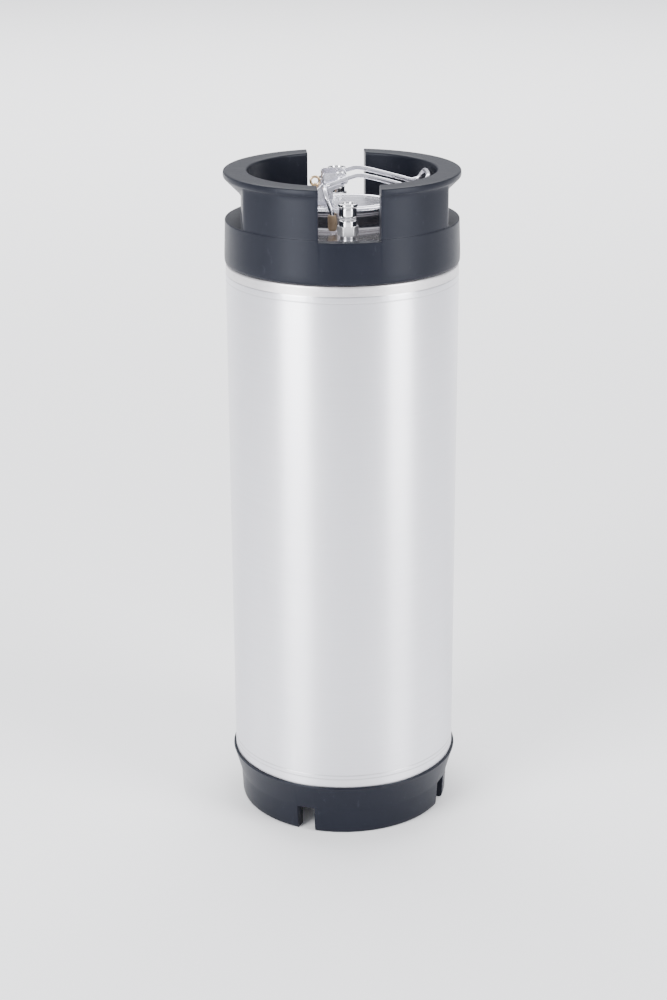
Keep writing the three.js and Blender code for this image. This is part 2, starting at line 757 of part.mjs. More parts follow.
const valve = new THREE.Group();
valve.position.x = PRV_X;
keg.add(valve);
add('prv_body', prvBody(), BRASS, valve);
add('prv_nut', prvNut(), BRASS, valve);
add('prv_cap', prvCap(), BRASS, valve);
add('prv_seal', tube(1.2, 3.6, PRV_SEAT + GAP, 589.5), SEAL_RUBBER, valve);
add('prv_stem', prvStem(), BRASS, valve);
add('prv_spring', coilSpring(2.8, 0.4, PRV_DISC_TOP + GAP, PRV_CAP_LOW - GAP, 3), SPRING_STEEL, valve);
add('prv_pull_ring', pullRing(), BRASS, valve);

export default keg;
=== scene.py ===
# %% [markdown]
# # A 19 litre ball-lock beer keg
# The real keg is a stainless vessel of about 5 kg. A rolled shell is welded to two pressed
# heads. A rubber handle ring is glued on top and a rubber boot below. An oval lid is pulled up
# against the collar by a wire bail, and two posts let the gas in and the beer out.
# Every visible piece here is a surface worked out with numpy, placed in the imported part's frame.

import math

import bmesh
import bpy
import numpy as np
from mathutils import Matrix, Vector


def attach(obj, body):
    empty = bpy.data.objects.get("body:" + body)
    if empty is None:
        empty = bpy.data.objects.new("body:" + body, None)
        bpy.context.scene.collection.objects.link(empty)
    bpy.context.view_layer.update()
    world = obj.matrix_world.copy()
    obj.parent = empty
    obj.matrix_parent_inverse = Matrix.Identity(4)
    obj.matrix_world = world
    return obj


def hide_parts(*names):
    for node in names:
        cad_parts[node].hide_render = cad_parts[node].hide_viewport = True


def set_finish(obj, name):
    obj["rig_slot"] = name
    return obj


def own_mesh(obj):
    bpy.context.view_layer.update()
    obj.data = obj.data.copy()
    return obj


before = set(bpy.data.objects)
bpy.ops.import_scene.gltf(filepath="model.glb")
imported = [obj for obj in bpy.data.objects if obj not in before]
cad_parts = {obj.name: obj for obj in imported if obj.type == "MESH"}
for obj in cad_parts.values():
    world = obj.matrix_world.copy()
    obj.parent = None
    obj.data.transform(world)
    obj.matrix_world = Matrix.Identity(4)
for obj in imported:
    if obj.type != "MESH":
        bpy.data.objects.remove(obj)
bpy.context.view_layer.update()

# %% [markdown]
# ## Grids
# A turned part, a bent wire and an oval rim are all the same thing: a grid of points, rows
# along one parameter and columns along the other. One helper turns any such grid into faces.
# Shapes are kept in millimetres, as on a drawing, and become metres in the mesh.

# %% Shapes from grids
MM = 0.001
MERGE = 2e-6          # metres within which two points are one


def grid(points, loop_rows=False):
    """A shape (points, quads) from an array of rows by columns by 3.
    Each quad joins point (i, j) to (i, j + 1), (i + 1, j + 1) and (i + 1, j). The columns
    close on themselves, and so do the rows with loop_rows."""
    rows, columns = points.shape[:2]
    i = np.arange(rows if loop_rows else rows - 1)[:, None]
    j = np.arange(columns)[None, :]
    below, right = (i + 1) % rows, (j + 1) % columns
    quads = np.stack(np.broadcast_arrays(
        i * columns + j, i * columns + right, below * columns + right, below * columns + j), -1)
    return outward((points.reshape(-1, 3).astype(float), quads.reshape(-1, 4)))


def volume(shape):
    """Sum over triangles of a . (b x c) / 6, which is positive when faces point outwards."""
    points, quads = shape
    corner = points[quads] - points.mean(0)
    halves = np.concatenate([corner[:, [0, 1, 2]], corner[:, [0, 2, 3]]])
    return (halves[:, 0] * np.cross(halves[:, 1], halves[:, 2])).sum() / 6


def outward(shape):
    """The shape with every face turned over if its volume comes out negative."""
    points, quads = shape
    return (points, quads) if volume(shape) >= 0 else (points, quads[:, ::-1])


def together(*shapes):
    """Several closed shapes as one."""
    starts = np.cumsum([0] + [len(points) for points, _ in shapes[:-1]])
    return (np.concatenate([points for points, _ in shapes]),
            np.concatenate([quads + start for (_, quads), start in zip(shapes, starts)]))


def moved(shape, x=0.0, y=0.0, z=0.0):
    return shape[0] + np.array([x, y, z]), shape[1]


def mirrored(shape):
    """The same shape on the other side of the plane y = 0."""
    return outward((shape[0] * np.array([1, -1, 1]), shape[1]))


def tipped(shape, axes):
    """The shape with its x, y and z laid along the three given axes."""
    return outward((shape[0] @ np.array(axes, float), shape[1]))


def placed(name, data):
    """A new object in the scene from a mesh, a light or a camera."""
    thing = bpy.data.objects.new(name, data)
    bpy.context.scene.collection.objects.link(thing)
    return thing


made = {}


def piece(name, shape, body, slot, nodes=None, caps=(), sharp=38.0):
    """A mesh object from a shape. Doubles are merged, so poles and seams close, caps are
    flat many-sided faces, and edges turned by more than sharp degrees stay crisp."""
    points, quads = shape
    mesh = bpy.data.meshes.new(name)
    mesh.from_pydata((points * MM).tolist(), [], quads.tolist() + [list(cap) for cap in caps])
    work = bmesh.new()
    work.from_mesh(mesh)
    bmesh.ops.remove_doubles(work, verts=work.verts, dist=MERGE)
    bmesh.ops.dissolve_degenerate(work, edges=work.edges, dist=MERGE / 4)
    if len(caps):
        bmesh.ops.recalc_face_normals(work, faces=work.faces)
    open_edges = sum(1 for edge in work.edges if len(edge.link_faces) != 2)
    work.to_mesh(mesh)
    work.free()
    sides = np.zeros(len(mesh.polygons), np.int32)
    mesh.polygons.foreach_get("loop_total", sides)
    mesh.polygons.foreach_set("use_smooth", sides <= 4)
    mesh.set_sharp_from_angle(angle=math.radians(sharp))
    made_object = placed(name, mesh)
    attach(made_object, body)
    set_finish(made_object, slot)
    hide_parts(*(nodes or [name]))
    made[name] = made_object
    print(f"{name}: {len(mesh.polygons)} faces, {open_edges} open edges, on {body}")
    return made_object


# %% [markdown]
# ## Rounded outlines
# Nothing on a real keg has a knife edge. Sheet is pressed over a radius, rubber leaves its
# mould with a soft corner, and a lathe breaks every edge. An outline is written as corners
# with a bend each, and the bend is worked out as a short curve.

# %% Outlines
def rounded(corners, steps=6, loop=True):
    """Corners (r, z, bend) to a smooth outline (r, z). Each corner P becomes the curve
    (1 - t)^2 A + 2 t (1 - t) P + t^2 B, where A and B lie bend before and after P, with one
    more point a little further out on each side that holds the straight parts straight."""
    corners = np.asarray(corners, float)
    point, bend = corners[..., :2], corners[..., 2:3]
    back = np.roll(point, 1, -2) - point
    on = np.roll(point, -1, -2) - point
    if not loop:
        back[..., 0, :] = 0
        on[..., -1, :] = 0
    share = []
    for side in (back, on):
        length = np.maximum(np.linalg.norm(side, axis=-1, keepdims=True), 1e-9)
        share.append(side * np.minimum(bend, 0.42 * length) / length)
    t = np.linspace(0, 1, steps)[:, None]
    a, b, p = (v[..., None, :] for v in (point + share[0], point + share[1], point))
    curve = (1 - t) ** 2 * a + 2 * t * (1 - t) * p + t ** 2 * b
    hold = [(point + 1.12 * part)[..., None, :] for part in share]
    whole = np.concatenate([hold[0], curve, hold[1]], axis=-2)
    return whole.reshape(*whole.shape[:-3], -1, 2)


def arc(r, z, radius, start, stop, steps=10):
    """Points on an arc of the (r, z) plane, angles in degrees, as corners with no bend."""
    angle = np.radians(np.linspace(start, stop, steps))
    corners = [r + radius * np.cos(angle), z + radius * np.sin(angle), 0 * angle]
    return np.stack(corners, -1).tolist()


def angles(columns):
    return np.linspace(0, 2 * np.pi, columns, endpoint=False)


def round_section(r, z, radius, sides=20):
    """Outline of a circle: (r + radius cos a, z + radius sin a)."""
    a = angles(sides)
    return np.stack([r + radius * np.cos(a), z + radius * np.sin(a)], -1)


def around(r, z, a):
    """Points (r cos a, r sin a, z) of arrays that broadcast together."""
    return np.stack(np.broadcast_arrays(r * np.cos(a), r * np.sin(a), z), -1)


def circle_rows(outline, columns):
    """One circle of points for each (r, z) of the outline."""
    outline = np.asarray(outline, float)
    return around(outline[:, :1], outline[:, 1:2], angles(columns))


def turned(outline, columns=96):
    """Lathe: point(u, a) = (r(u) cos a, r(u) sin a, z(u)). An outline that starts and ends on
    the axis closes at its poles, and any other outline closes on itself."""
    solid = abs(outline[0][0]) < 1e-6 and abs(outline[-1][0]) < 1e-6
    return grid(circle_rows(outline, columns), loop_rows=not solid)


HEX_TRIM = 1.135      # a hexagon's trimmed corners, over its width across the flats


def hexed(outline, across, turn):
    """Hexagon bar turned in a lathe: r(u, a) is the smaller of the outline's r and the
    hexagon across / 2 / cos(a') with a' the angle from the middle of the nearest flat."""
    a = angles(96)
    off_flat = (a - math.radians(turn) + math.pi / 6) % (math.pi / 3) - math.pi / 6
    flat = np.minimum(across / 2 / np.cos(off_flat), across / 2 * HEX_TRIM)
    return grid(around(np.minimum(outline[:, :1], flat), outline[:, 1:2], a), loop_rows=True)


# %% [markdown]
# ## Wires and tubes
# The bail, the springs and the dip tubes are bent from wire or tube. A smooth route goes
# through the bending points, and a round section is carried along it without twisting.

# %% Routes and sections
def route(points, per_span=16):
    """Centripetal Catmull-Rom curve through the points, by the Barry-Goldman pyramid."""
    p = np.asarray(points, float)
    p = np.concatenate([[2 * p[0] - p[1]], p, [2 * p[-1] - p[-2]]])
    knot = np.concatenate([[0], np.cumsum(np.linalg.norm(np.diff(p, axis=0), axis=1) ** 0.5)])
    p0, p1, p2, p3 = (p[i:len(p) - 3 + i, None] for i in range(4))
    t0, t1, t2, t3 = (knot[i:len(p) - 3 + i, None, None] for i in range(4))
    t = t1 + (t2 - t1) * np.linspace(0, 1, per_span, endpoint=False)[None, :, None]
    a1 = ((t1 - t) * p0 + (t - t0) * p1) / (t1 - t0)
    a2 = ((t2 - t) * p1 + (t - t1) * p2) / (t2 - t1)
    a3 = ((t3 - t) * p2 + (t - t2) * p3) / (t3 - t2)
    b1 = ((t2 - t) * a1 + (t - t0) * a2) / (t2 - t0)
    b2 = ((t3 - t) * a2 + (t - t1) * a3) / (t3 - t1)
    curve = ((t2 - t) * b1 + (t - t1) * b2) / (t2 - t1)
    return np.concatenate([curve.reshape(-1, 3), p[-2:-1]])


def carried_frames(path):
    """Two directions square to the path at each station, carried along it without twist."""
    along = np.gradient(path, axis=0)
    along /= np.linalg.norm(along, axis=1, keepdims=True)
    first = np.cross(along[0], [0.31, 0.52, 0.8])
    across = [first / np.linalg.norm(first)]
    for direction in along[1:]:
        step = across[-1] - (across[-1] @ direction) * direction
        across.append(step / np.linalg.norm(step))
    across = np.array(across)
    return along, across, np.cross(along, across)


def wire(path, radius, sides=24, dome=0.6):
    """Solid wire: point(s, a) = path(s) + radius (cos a N(s) + sin a B(s)), with ends that
    close over a dome of dome times the radius."""
    along, across, up = carried_frames(path)
    closing = np.linspace(0, math.pi / 2, 7)[1:]
    tail = [path[0] - along[0] * radius * dome * math.sin(angle) for angle in closing[::-1]]
    nose = [path[-1] + along[-1] * radius * dome * math.sin(angle) for angle in closing]
    middle = np.concatenate([tail, path, nose])
    size = np.concatenate([np.cos(closing[::-1]), np.ones(len(path)), np.cos(closing)]) * radius
    pad = ((len(closing), len(closing)), (0, 0))
    across, up = np.pad(across, pad, mode="edge"), np.pad(up, pad, mode="edge")
    a = angles(sides)[None, :, None]
    ring = np.cos(a) * across[:, None] + np.sin(a) * up[:, None]
    return grid(middle[:, None] + size[:, None, None] * ring)


def pipe(path, outer, inner, sides=24):
    """Hollow tube: the outer wall out along the path, and the inner wall back."""
    _, across, up = carried_frames(path)
    a = angles(sides)[None, :, None]
    ring = np.cos(a) * across[:, None] + np.sin(a) * up[:, None]
    outside, inside = path[:, None] + outer * ring, path[:, None] + inner * ring
    return grid(np.concatenate([outside, inside[::-1]]), loop_rows=True)


# %% [markdown]
# ## Shell
# The shell is a sheet rolled to 214 mm and closed by one seam. A rolled sheet is never a
# perfect cylinder, and its faint waves are what make the reflections on a keg look real.

# %% Vessel sizes
SHELL = 107.0
WALL = 1.2
COLUMNS = 256
TOP_WELD = (522.3, 528.7)
BOTTOM_WELD = (60.2, 64.5)


def cylinder_waves(points, depth=0.05):
    """Radius grows by depth times a sum of slow sines of the angle and the height, faded out
    towards both ends so that the welds stay round."""
    x, y, z = points.T
    a = np.arctan2(y, x)
    wave = np.sin(3 * a + z / 61) * 0.5 + np.sin(5 * a - z / 97 + 1.3) * 0.3
    wave += np.sin(2 * a + z / 33 + 0.4) * 0.2
    fade = np.clip((z - 70) / 40, 0, 1) * np.clip((516 - z) / 40, 0, 1)
    scale = 1 + depth * wave * fade / np.hypot(x, y)
    return np.stack([x * scale, y * scale, z], -1)


# %% Shell cylinder
UNDER_WELD = 0.2      # how far the sheet runs in under each weld
heights = np.linspace(BOTTOM_WELD[1] - UNDER_WELD, TOP_WELD[0] + UNDER_WELD, 90)
outer_wall = np.stack([np.full(90, SHELL), heights], -1)
inner_wall = np.stack([np.full(90, SHELL - WALL), heights[::-1]], -1)
shell_points, shell_quads = turned(np.concatenate([outer_wall, inner_wall]), COLUMNS)
piece("shell_cylinder", (cylinder_waves(shell_points), shell_quads), "vessel", "satin_steel")

# %% [markdown]
# ## Girth welds
# Each head is joined to the shell by a weld run with the keg turning under the torch. It is
# ground nearly flush, so all that is left is a low crown with a shallow ripple and two fine
# lines where it meets the sheet.

# %% Girth welds
def girth_weld(low, high, crown=0.16, sunk=0.09):
    """Band from low to high. Its edges lie sunk below the shell and its middle stands crown
    above it: r = shell - sunk + (sunk + crown) (1 - v^8) (0.86 + 0.14 ripple (1 - v^2)), with
    v from -1 to 1 across the band and the ripple two fast sines round the keg."""
    v = np.linspace(-1, 1, 13)[:, None]
    a = angles(COLUMNS * 2)
    ripple = np.sin(90 * a + 1.1 * v) * 0.5 + np.sin(37 * a) * 0.5
    r = SHELL - sunk + (sunk + crown) * (1 - v ** 8) * (0.86 + 0.14 * ripple * (1 - v ** 2))
    z = (low + high) / 2 + v * (high - low) / 2
    inside = around(SHELL - WALL, z, a)[::-1]
    return grid(np.concatenate([around(r, z, a), inside]), loop_rows=True)


piece("top_girth_weld", girth_weld(*TOP_WELD), "vessel", "satin_steel")
piece("bottom_girth_weld", girth_weld(*BOTTOM_WELD), "vessel", "satin_steel")

# %% [markdown]
# ## Heads
# A head is pressed from one disc: a skirt that meets the shell, a step inwards that lets the
# rubber sit flush, a rounded corner and a nearly flat top. On the top head the mouth is drawn
# up into an oval collar with a rolled bead. The same grid can be a circle at its rim and an
# oval at its mouth, if each row says how far it has gone from one to the other.

# %% Oval rows
OVAL_X, OVAL_Y = 50.0, 38.0
COLLAR_TOP = 592.0
HEAD_TOP = 571.5


def oval(offset, columns):
    """Ellipse (OVAL_X cos a, OVAL_Y sin a) pushed out along its normal by offset."""
    a = angles(columns)
    x, y = OVAL_X * np.cos(a), OVAL_Y * np.sin(a)
    nx, ny = x / OVAL_X ** 2, y / OVAL_Y ** 2
    size = np.hypot(nx, ny)
    offset = np.asarray(offset, float)[..., None]
    return np.stack([x + offset * nx / size, y + offset * ny / size], -1)


def oval_turned(outline, columns):
    """Outline (offset, z) carried round the oval, as a lathe would do with a circle."""
    outline = np.asarray(outline, float)
    flat = oval(outline[:, 0], columns)
    height = np.broadcast_to(outline[:, 1, None, None], flat.shape[:2] + (1,))
    return np.concatenate([flat, height], -1)


def round_to_oval(rim, mouth, columns, rows=14):
    """Rows that turn evenly from a circle (r, z) to an oval (offset, z):
    point(w, a) = (1 - w) circle(a) + w oval(a)."""
    circle = around(rim[0], float(rim[1]), angles(columns))
    end = np.concatenate([oval(mouth[0], columns), np.full((columns, 1), float(mouth[1]))], -1)
    w = np.linspace(0, 1, rows + 2)[1:-1, None, None]
    return (1 - w) * circle + w * end


# %% Top head
NECKED = 103.4        # radius of the drawn-in wall that the rubber sits on
CORNER = 12.0
KNEE = 560.0          # from here up, the inner wall eases in under the flat top
skirt = rounded([
    [SHELL, TOP_WELD[1] - 0.1, 0],
    [SHELL, 536.9, 0.9],
    [NECKED, 540.2, 1.5],
    *arc(NECKED - CORNER, HEAD_TOP - CORNER, CORNER, 0, 90, 14),
], steps=4, loop=False)
skirt_inside = skirt[::-1] - np.array([WALL, 0])
skirt_inside[:, 1] -= WALL * np.maximum(skirt_inside[:, 1] - KNEE, 0) / (HEAD_TOP - KNEE)
NECK = -2.2           # offset of the collar's narrow neck from the bead's outside
FLARE = 5.0
BEAD = 3.5
BEAD_Z = COLLAR_TOP - BEAD
collar_outside = rounded([
    *arc(NECK + FLARE, HEAD_TOP + FLARE, FLARE, 270, 180, 10),
    [NECK, 584.2, 1],
    *arc(-BEAD, BEAD_Z, BEAD, -52, 180, 26),
    [-2 * BEAD, 582, 0.5],
    [-2 * BEAD + WALL, 582, 0.5],
], steps=4, loop=False)
collar_inside = rounded([
    *arc(-BEAD, BEAD_Z, BEAD - WALL, 180, -20, 16),
    [NECK - WALL, 584, 1],
    [NECK - WALL, HEAD_TOP + 3, 2],
    [NECK + FLARE, HEAD_TOP - WALL, 1],
], steps=4, loop=False)
head_rows = np.concatenate([
    circle_rows(skirt, COLUMNS),
    round_to_oval((NECKED - CORNER, HEAD_TOP), (NECK + FLARE, HEAD_TOP), COLUMNS),
    oval_turned(collar_outside, COLUMNS),
    oval_turned(collar_inside, COLUMNS),
    round_to_oval((NECKED - CORNER - 1, HEAD_TOP - WALL), (NECK + FLARE, HEAD_TOP - WALL),
                  COLUMNS)[::-1],
    circle_rows(skirt_inside, COLUMNS),
])
piece("top_head", grid(head_rows, loop_rows=True), "vessel", "satin_steel")

# %% Bottom head
HEAD_BOTTOM = 24.0
SUMP = 19.5
bottom = rounded([
    [SHELL, BOTTOM_WELD[0] + 0.1, 0],
    [SHELL, 50.4, 2],
    [NECKED, 45.9, 2],
    *arc(NECKED - CORNER, HEAD_BOTTOM + CORNER, CORNER, 0, -90, 14),
    [24, HEAD_BOTTOM, 3],
    [16, SUMP, 3],
    [0, SUMP, 0],
], steps=5, loop=False)
bottom_inside = bottom.copy()
bottom_inside[:, 0] = np.maximum(bottom_inside[:, 0] - WALL * np.clip(
    (bottom_inside[:, 0] - 80) / 20, 0, 1), 0)
bottom_inside[:, 1] += WALL * np.clip((104 - bottom_inside[:, 0]) / 20, 0, 1)
bowl = circle_rows(np.concatenate([bottom[::-1], bottom_inside]), COLUMNS)
piece("bottom_head", grid(bowl), "vessel", "satin_steel")

# %% [markdown]
# ## Rubber rings
# The handle ring and the boot are moulded rings with gaps: two slots for the disconnects in
# the ring and four drain notches in the boot. The gaps have flat, parallel sides, so along a
# side each point's angle depends on its radius. The ring is swept in sectors between the
# gaps, the gaps are swept with a lower outline, and one flat face closes each side.

# %% A ring with gaps
SIDE_SHARE = 0.15     # part of a sector over which the flat side's angles even out


def ease(x):
    """Smooth step 3 x^2 - 2 x^3 of a value kept between 0 and 1."""
    x = np.clip(x, 0, 1)
    return x * x * (3 - 2 * x)


def outline_normals(outline, reach=3):
    """Directions out of a closed outline, from the points reach before and after each one."""
    span = np.roll(outline, -reach, -2) - np.roll(outline, reach, -2)
    normal = np.stack([span[..., 1], -span[..., 0]], -1)
    normal /= np.maximum(np.linalg.norm(normal, axis=-1, keepdims=True), 1e-9)
    r, z = outline[0, :, 0], outline[0, :, 1]
    area = (r * np.roll(z, -1) - np.roll(r, -1) * z).sum() / 2
    return normal * np.sign(area)


def ring_with_gaps(shared, upper, floor, gaps, half_gap, edge, columns, gap_columns=24):
    """The closed outline shared + upper is swept through each sector, and shared + floor
    through each gap. At a side a point of radius r stands asin(w / r) from the middle of the
    gap, where w is the half gap, so the side is flat, and further on all radii share one
    angle. Near a side the upper outline shrinks by edge (1 - sin f) and starts
    edge (1 - cos f) later, which rounds the side's rim.
    upper is a function of the angle. Returns a shape and the caps that close the sides."""
    shapes, caps = [], []
    base = len(shared)
    low = np.concatenate([shared, floor])
    quarter = np.linspace(0, math.pi / 2, 5)[:-1]
    f = np.concatenate([quarter, np.full(columns, math.pi / 2), quarter[::-1]])
    flat = len(quarter)
    t = np.concatenate([np.zeros(flat), np.linspace(0, 1, columns), np.ones(flat)])
    middle_side = math.asin(half_gap / shared[:, 0].mean())
    near, far = ease(1 - t / SIDE_SHARE)[:, None], ease(1 - (1 - t) / SIDE_SHARE)[:, None]
    for number, gap in enumerate(gaps):
        following = (number + 1) % len(gaps)
        turn = (gaps[following] - gap) % (2 * math.pi)
        common = gap + middle_side + t * (turn - 2 * middle_side)
        top = upper(common)
        whole = np.concatenate([np.broadcast_to(shared, (len(t),) + shared.shape), top], 1)
        step = np.linalg.norm(np.diff(top[0], axis=0), axis=1)
        run = np.concatenate([[0], np.cumsum(step)])
        exposed = ease(np.minimum(run, run[-1] - run) / 2.5)
        exposed = np.concatenate([np.zeros(base), exposed])[None, :]
        shrink = edge * (1 - np.sin(f))[:, None] * exposed
        late = edge * (1 - np.cos(f))[:, None] * exposed
        outline = whole - outline_normals(whole) * shrink[..., None]
        r = outline[..., 0]
        side = np.arcsin((half_gap + late) / r) - middle_side
        angle = common[:, None] + side * near - side * far
        s = np.linspace(-1, 1, gap_columns + 1)[:, None]
        low_angle = gap + np.arcsin(half_gap * s / low[None, :, 0])
        shapes.append(grid(around(r, outline[..., 1], angle)))
        shapes.append(grid(around(low[:, 0], low[:, 1], low_angle)))
        high_count, low_count = outline.shape[1], len(low)
        floor_start = len(t) * high_count
        sector = floor_start + (gap_columns + 1) * low_count
        high_side, low_side = np.arange(base, high_count), np.arange(base, low_count)[::-1]
        start = number * sector
        caps.append(np.concatenate([
            start + high_side, start + floor_start + gap_columns * low_count + low_side]))
        caps.append(np.concatenate([
            start + floor_start - high_count + high_side,
            following * sector + floor_start + low_side]))
    return together(*shapes), caps


# %% [markdown]
# ## Handle ring
# Hands grip the ring from outside, under its lip, where the wall is drawn in to a flat. So
# the wall's radius depends on the angle: it is the smaller of the round wall and the flat
# wall, blended so that the mould's corner is soft. The underside of the lip slopes at 45
# degrees, which lets it leave the mould.

# %% Handle ring
SHELF = 577.8
WALL_RADIUS = 106.35
GRIP_PLANE = 91.5
LIP_SLOPE = 508.6     # z of the lip's underside, less its radius
SLOT = 27.25
SLOT_FLOOR = 576.0
RING_TOP = 622.0
RING_BORE = 86.0
RING_SEAT = (91.4, 559.5, 12.3)   # centre and radius of the curve that rests on the head


def grip_wall(angle, soft=0.9):
    """Radius of the wall: the soft minimum -k ln(e^(-a/k) + e^(-b/k)) of the round wall a and
    the flat wall b = GRIP_PLANE / |cos angle|."""
    flat = GRIP_PLANE / np.maximum(np.abs(np.cos(angle)), 0.2)
    low = np.minimum(flat, WALL_RADIUS)
    return low - soft * np.log(np.exp((low - flat) / soft) + np.exp((low - WALL_RADIUS) / soft))


ring_band = rounded([
    *arc(*RING_SEAT, 62.9, 0, 8),
    [103.7, 541, 1],
    [105.4, 538.6, 0.8],
    [107.3, 538.6, 0.7],
    [107.9, 540.2, 1],
    [108, 545, 3],
    [107, 573.5, 0],
], steps=5, loop=False)


def ring_upper(angle):
    """The outline above the band at each angle, from the outer wall over the lip and down
    the inner wall to the underside."""
    wall = grip_wall(angle)
    same = np.ones_like(wall)
    rows = [
        (107.0 * same, 573.5, 0.0),
        (106.95 * same, SHELF, 1.3),
        (wall, SHELF, 1.6),
        (wall, wall + LIP_SLOPE, 4.0),
        (107.7 * same, 107.7 + LIP_SLOPE, 1.4),
        (108.0 * same, 618.4, 1.6),
        (107.6 * same, RING_TOP - 0.1, 2.6),
        (RING_BORE * same, RING_TOP, 2.4),
        (RING_BORE * same, 600.0, 3.0),
        (86.2 * same, 571.8, 0.8),
        (91.4 * same, 571.8, 0.3),
        *((r * same, z, 0.0) for r, z, _ in arc(*RING_SEAT, 84, 62.9, 4)),
    ]
    corners = np.stack([np.stack([r, z + 0 * r, bend + 0 * r], -1) for r, z, bend in rows], 1)
    return rounded(corners, steps=6, loop=False)


ring_floor = rounded([
    [107, 573.5, 0],
    [106.9, SLOT_FLOOR, 1],
    [97, SLOT_FLOOR, 0.8],
    [ring_band[0, 0], ring_band[0, 1], 0],
], steps=6, loop=False)
ring_shape, ring_caps = ring_with_gaps(
    ring_band, ring_upper, ring_floor, [-math.pi / 2, math.pi / 2], SLOT, 0.9, 190)
piece("handle_ring", ring_shape, "vessel", "black_rubber", caps=ring_caps)

# %% [markdown]
# ## Boot
# The boot carries the keg on a flat rim. Its wall leans out to a thin lip that hides the
# bottom weld's step, and four notches let washing water drain.

# %% Boot
BOOT_SEAT = (91.4, 36, 12.3)
NOTCH = 8.5           # half the width of a drain notch
boot_upper = rounded([
    *arc(*BOOT_SEAT, -66.7, 0, 8),
    [103.8, 45.7, 1],
    [107.2, 50.2, 1],
    [107.2, 52, 0.3],
    [108.9, 52, 0.6],
    [109.5, 50.9, 0.7],
    [108.9, 49.4, 1.2],
    [102.3, 26.5, 0],
], steps=5, loop=False)
boot_lower = rounded([
    [102.3, 26.5, 0],
    [101.9, 22, 3],
    [101, 4, 2],
    [100.4, 1.2, 1],
    [98.8, 0, 1],
    [89.5, 0, 1],
    [88.5, 1, 1],
    [88.5, 23.7, 0.8],
    *arc(*BOOT_SEAT, -90, -66.7, 5),
], steps=6, loop=False)
boot_floor = rounded([
    [102.3, 26.5, 0],
    [102.15, 24.7, 0.8],
    [boot_upper[0, 0], boot_upper[0, 1], 0],
], steps=6, loop=False)
NOTCH_ANGLES = [math.radians(-90 - 24.7 + 90 * k) for k in range(4)]
boot_shape, boot_caps = ring_with_gaps(
    boot_upper, lambda angle: np.broadcast_to(boot_lower, (len(angle),) + boot_lower.shape),
    boot_floor, NOTCH_ANGLES, NOTCH, 0.7, 90, 8)
piece("boot", boot_shape, "vessel", "black_rubber", caps=boot_caps)

# %% [markdown]
# ## Posts
# Each post screws on to a short port welded into the head. From the bottom up it has a
# hexagon for the spanner, a polished barrel with a pinched groove for a pale silicone ring,
# and a flanged nose. The balls of the disconnect lock under the nose.

# %% Port and post
POST_Y = 79.0
POST_TOPS = {"gas": 605.6, "liquid": 609.2}
SIDES = {"gas": -1, "liquid": 1}
BARREL = 7.75         # radius of the post's polished barrel
SPRING_FOOT = 586.4
SPRING_HEAD = -8.5    # top of the poppet's spring, from the top of the post


def port():
    """Port: a shank through the head with a small weld fillet, a shoulder and the thread."""
    return turned(rounded([
        [4.1, 566, 0.2], [6.1, 566, 0.2], [6.1, 571, 0.2], [9.2, 571.4, 0.6],
        [7.6, 572.9, 1], [7.1, 574.2, 0.6], [7, 577.3, 0.3], [5.5, 577.3, 0.2],
        [5.5, 584, 0.4], [4.1, 584, 0.2]], steps=5), 96)


def post(top):
    """Post: hexagon below and turned outline above, both closed on one bore."""
    hexagon = hexed(rounded([
        [5.8, 577.6, 0.2], [8.4, 577.6, 0.3], [9.5, 578.2, 0.4], [9.5, 585.4, 0.4],
        [8.4, 586, 0.4], [5.9, 586.1, 0.2]], steps=5), 16.6, 30)
    body = turned(rounded([
        [5, 585, 0.2], [BARREL, 585, 0.2], [BARREL, 590.5, 0.7], [6.2, 591.3, 0.3],
        [6.2, 592.9, 0.4], [BARREL, 594.4, 1], [BARREL, top - 4.6, 0.8], [7.4, top - 4, 0.4],
        [7.4, top - 3.5, 0.3], [8.6, top - 2.6, 0.6], [8.6, top - 0.7, 0.6],
        [7.9, top, 0.4], [6.5, top, 0.3], [5.9, top - 1.9, 0.5], [4.3, top - 2.3, 0.5],
        [3.9, top - 1.4, 0.3], [3.2, top - 1.5, 0.3], [3.2, top - 4, 0.4],
        [5.0, top - 6.2, 0.4]], steps=6), 128)
    return together(hexagon, body)


def poppet(top):
    """Poppet: a guide in the spring, a flange, and a button dished at its top."""
    return turned(rounded([
        [0, top - 9.4, 0], [2.2, top - 9.4, 0.3], [2.2, top - 8.2, 0.2], [4.3, top - 8.2, 0.2],
        [4.3, top - 6.8, 0.3], [2.4, top - 6.7, 0.3], [2.35, top - 1.3, 0.5],
        [1.7, top - 0.7, 0.4], [0.9, top - 0.9, 0.4], [0, top - 1, 0]],
        steps=5, loop=False), 64)


def spring(radius, wire_radius, low, high, coils):
    """Compression spring: a helix whose rise eases off towards both ends and stops there, so
    that the end coils lie flat."""
    s = np.linspace(0, 1, int(coils * 26))
    angle = s * coils * 2 * math.pi
    share = np.clip((s - 0.5) / 0.86 + 0.5, 0, 1)
    rise = 0.35 * ease(share) + 0.65 * share
    z = low + wire_radius + rise * (high - low - 2 * wire_radius)
    return wire(around(radius, z, angle), wire_radius, 10)


# %% Dip tubes
ROUTES = {
    "gas": [(0, -POST_Y, z) for z in (585.9, 570, 548, 530)],
    "liquid": [*((0, POST_Y, z) for z in (585.9, 560, 300, 160)), (0, 74, 120), (0, 40, 62),
               (0, 16, 33), (0, 8, 26)],
}


def dip_tube(name):
    """Dip tube: a thin pipe hung from a flange that rests on top of the port."""
    path = route(ROUTES[name], 10)
    side = SIDES[name]
    flange = turned(rounded([[3.2, 584.5, 0.2], [4.9, 584.6, 0.2], [4.9, 586.0, 0.2],
                             [2.6, 586, 0.2]], steps=4), 64)
    return together(pipe(path, 3.4, 2.5), moved(flange, y=side * POST_Y))


